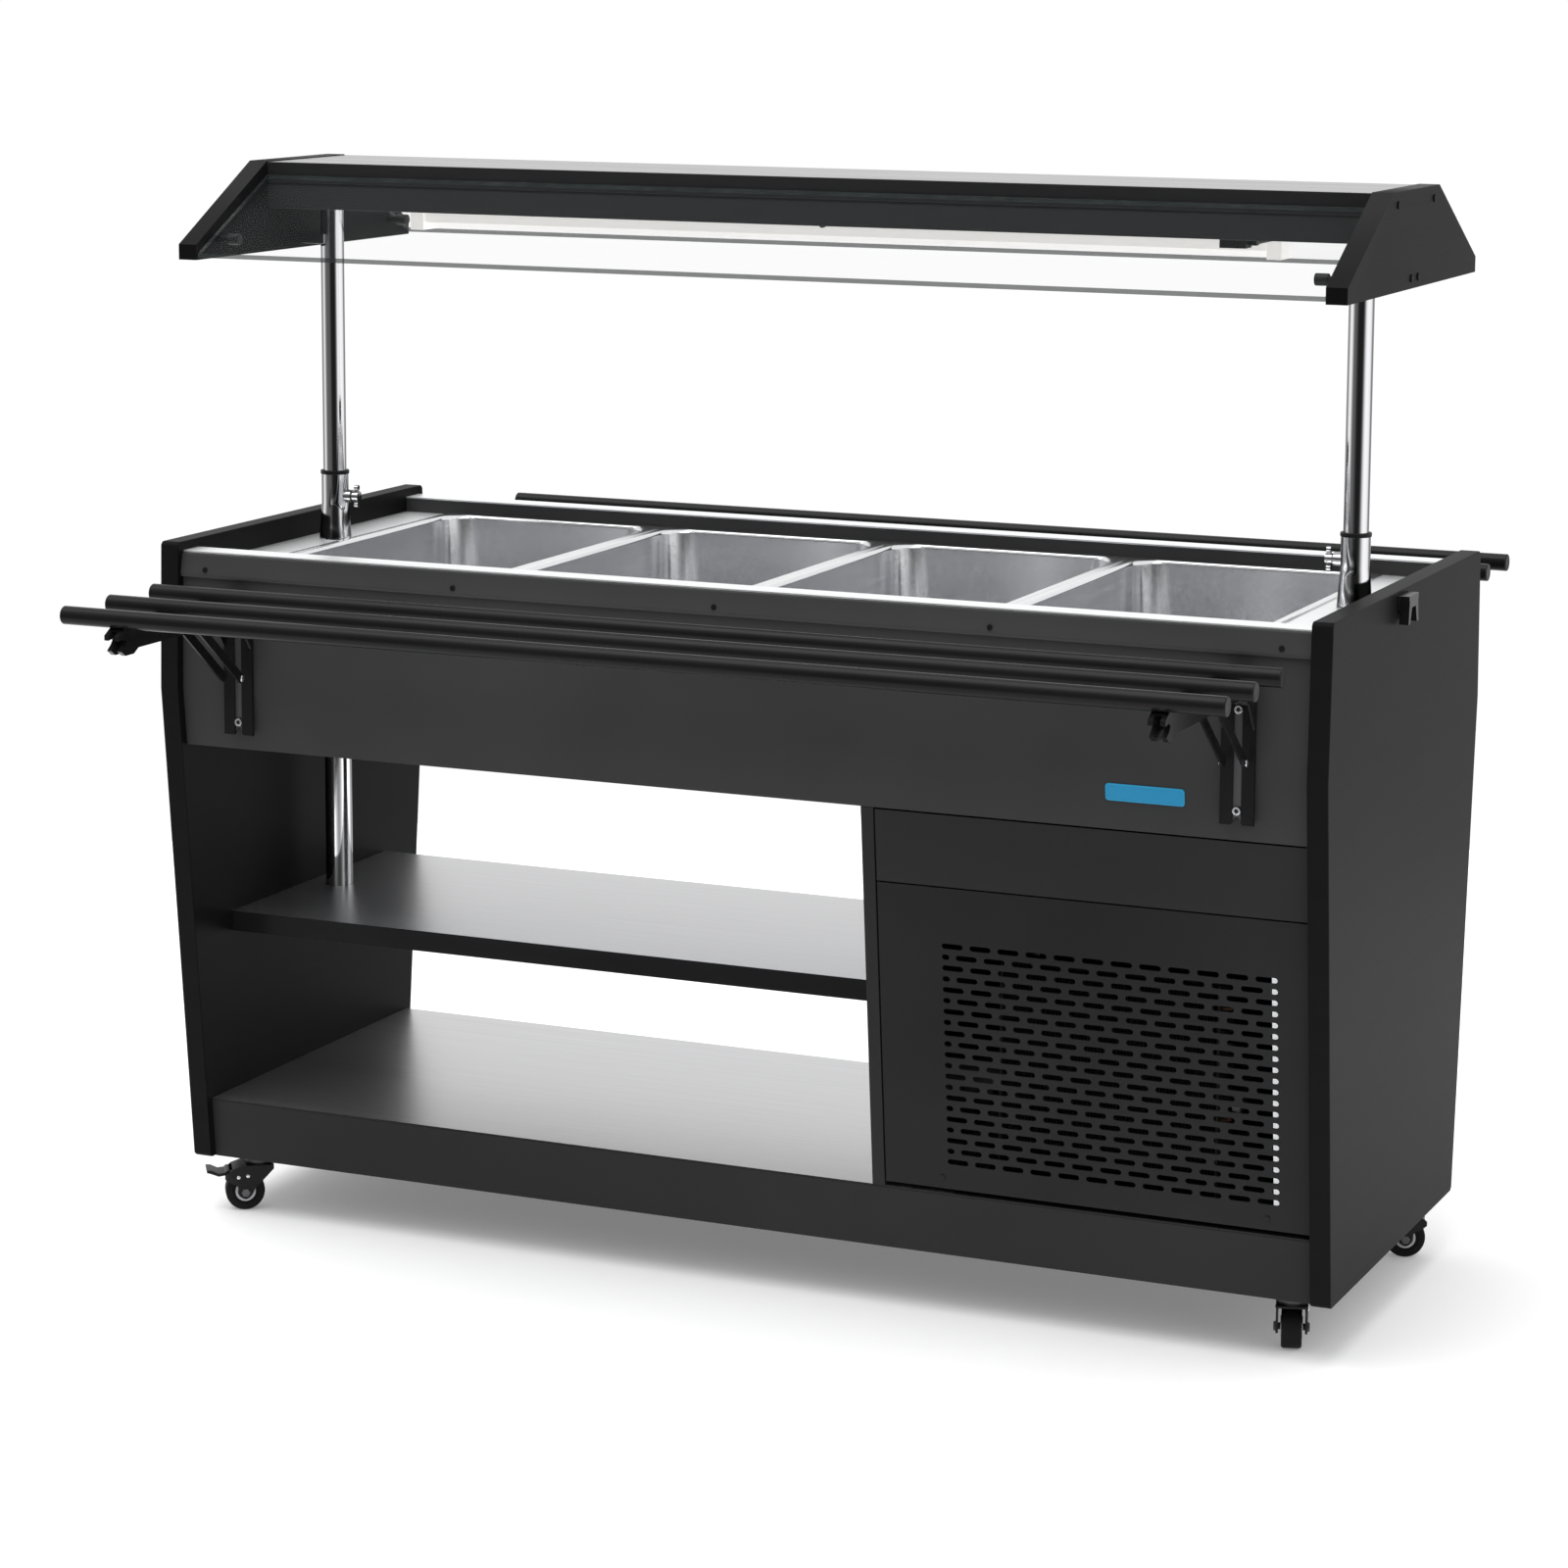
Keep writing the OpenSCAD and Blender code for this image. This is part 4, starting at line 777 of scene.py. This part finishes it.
def caster_details(corner):
    """Tread, hub ring, axle nuts and rivets of one caster."""
    roll = JOINTS[f"wheel_{corner}_roll"]
    swivel = Vector(JOINTS[f"caster_{corner}_swivel"]["pos_m"])
    centre, axis = Vector(roll["pos_m"]), Vector(roll["axis"]).normalized()
    trail = centre - swivel
    trail.z = 0
    trail.normalize()
    half = WHEEL_HALF
    section = [
        (4.06, -12.5), (8.5, -12.5), (9, -12.2), (9.4, -11), (16, -11), (16.6, -12), (22.5, -12), (23.8, -11.4),
        (24.6, -10.2), (24.95, -8.5), (25, -6), (25, 6), (24.95, 8.5), (24.6, 10.2), (23.8, 11.4), (22.5, 12),
        (16.6, 12), (16, 11), (9.4, 11), (9, 12.2), (8.5, 12.5), (4.06, 12.5), (4.06, -12.5),
    ]
    bm = bmesh.new()
    turned(bm, [(r * MM, h * MM) for r, h in section], facing(centre, axis), 64, caps=False)
    bmesh.ops.remove_doubles(bm, verts=bm.verts, dist=0.000002)
    wheel = "caster_wheel_" + corner
    finished(bm, wheel + "_tread", wheel, replaces=(wheel,), angle=50)
    bm = bmesh.new()
    for out in (-1, 1):
        ring = [(9.6, 10.9), (9.6, 12.4), (10.2, 12.9), (12.2, 12.9), (12.8, 12.4), (12.8, 10.9), (9.6, 10.9)]
        turned(bm, [(r * MM, h * MM) for r, h in ring], facing(centre, axis * out), 48, caps=False)
    bmesh.ops.remove_doubles(bm, verts=bm.verts, dist=0.000002)
    finished(bm, wheel + "_ring", wheel, HUB_GREY, angle=50)
    fork = "caster_fork_" + corner
    bm = bmesh.new()
    for out in (-1, 1):
        side = axis * out
        for along, height in ((27, 45), (15, 46.5)):
            spot = swivel + trail * along * MM + side * (half + 6 * MM)
            spot.z = height * MM
            turned(bm, dome(2.6 * MM, 1.3 * MM), facing(spot, side), 20)
    finished(bm, fork + "_rivets", fork, MATERIALS["screw_steel"])
    bm = bmesh.new()
    for out in (-1, 1):
        nut = centre + axis * out * (half + 6 * MM)
        turned(bm, [(5.6 * MM, 0), (5.6 * MM, 2 * MM), (4.8 * MM, 2.6 * MM)], facing(nut, axis * out), 6)
    finished(bm, fork + "_nuts", fork, AXLE_NUT)


for corner in ("front_left", "front_right", "rear_left", "rear_right"):
    caster_details(corner)


def control_window():
    """Dark display in the rear controller's window."""
    z = 0.555
    y = -front_y(z) + 2.1 * MM
    lean = Matrix.Rotation(-LEAN, 4, "X") @ Matrix.Rotation(math.pi / 2, 4, "X")
    tilt = Matrix.Translation((0, y, z)) @ lean
    bm = bmesh.new()
    outline = [(0.4105, -11.5 * MM), (0.4615, -11.5 * MM), (0.4615, 11.5 * MM), (0.4105, 11.5 * MM)]
    prism(bm, outline, tilt, -0.6 * MM)
    finished(bm, "control_display", "control_box", DARK_WINDOW)


control_window()


# ---- Stage ----

def stage():
    bm = bmesh.new()
    bmesh.ops.create_circle(bm, cap_ends=True, segments=96, radius=2.6)
    mesh = bpy.data.meshes.new("floor")
    bm.to_mesh(mesh)
    bm.free()
    floor = bpy.data.objects.new("floor", mesh)
    scene.collection.objects.link(floor)
    pale = Shader("pale_floor", (0.9, 0.9, 0.9), 0.9, IOR=1.1, Emission_Strength=0.18)
    pale.bsdf.inputs["Emission Color"].default_value = (1, 1, 1, 1)
    mesh.materials.append(pale.material)


def studio():
    """White surroundings, darker in front of the counter, and one broad soft light from above."""
    world = bpy.data.worlds.new("studio")
    world.use_nodes = True
    tree = world.node_tree
    add = tree.nodes.new
    direction = add("ShaderNodeSeparateXYZ")
    tree.links.new(add("ShaderNodeTexCoord").outputs["Generated"], direction.inputs["Vector"])
    levels = []
    for axis, start, end in (("Y", -0.8, -0.25), ("Z", 0.3, 0.65)):
        level = add("ShaderNodeMapRange")
        level.interpolation_type = "SMOOTHSTEP"
        level.inputs["From Min"].default_value = start
        level.inputs["From Max"].default_value = end
        tree.links.new(direction.outputs[axis], level.inputs["Value"])
        levels.append(level.outputs["Result"])
    brighter = add("ShaderNodeMath")
    brighter.operation = "MAXIMUM"
    path = add("ShaderNodeLightPath")
    seen = add("ShaderNodeMath")
    seen.operation = "MAXIMUM"
    tree.links.new(levels[0], brighter.inputs[0])
    tree.links.new(levels[1], brighter.inputs[1])
    tree.links.new(brighter.outputs[0], seen.inputs[0])
    tree.links.new(path.outputs["Is Camera Ray"], seen.inputs[1])
    ramp = add("ShaderNodeMapRange")
    ramp.inputs["To Min"].default_value = 0.12
    ramp.inputs["To Max"].default_value = 1.02
    tree.links.new(seen.outputs[0], ramp.inputs["Value"])
    tree.links.new(ramp.outputs["Result"], tree.nodes["Background"].inputs["Strength"])
    tree.nodes["Background"].inputs["Color"].default_value = (1, 1, 1, 1)
    scene.world = world
    sun = bpy.data.lights.new("overhead", "SUN")
    sun.angle = math.radians(50)
    sun.energy = 1.6
    holder = bpy.data.objects.new("overhead", sun)
    holder.rotation_euler = (math.radians(12), math.radians(-10), 0)
    scene.collection.objects.link(holder)
    scene.view_settings.view_transform = "Standard"


def camera():
    """At the photograph's viewing angle: 23.8 degrees to the right side, looking 8.7 degrees down."""
    turn, tilt, roll = (math.radians(a) for a in (23.815, 8.711, 0.255))
    data = bpy.data.cameras.new("camera")
    data.lens = 98.27
    data.shift_y = -0.12
    holder = bpy.data.objects.new("camera", data)
    holder.matrix_world = (
        Matrix.Translation((2.0683, -4.7918, 1.6092))
        @ Matrix.Rotation(turn, 4, "Z")
        @ Matrix.Rotation(math.pi / 2 - tilt, 4, "X")
        @ Matrix.Rotation(roll, 4, "Z")
    )
    scene.collection.objects.link(holder)
    scene.camera = holder


stage()
studio()
camera()
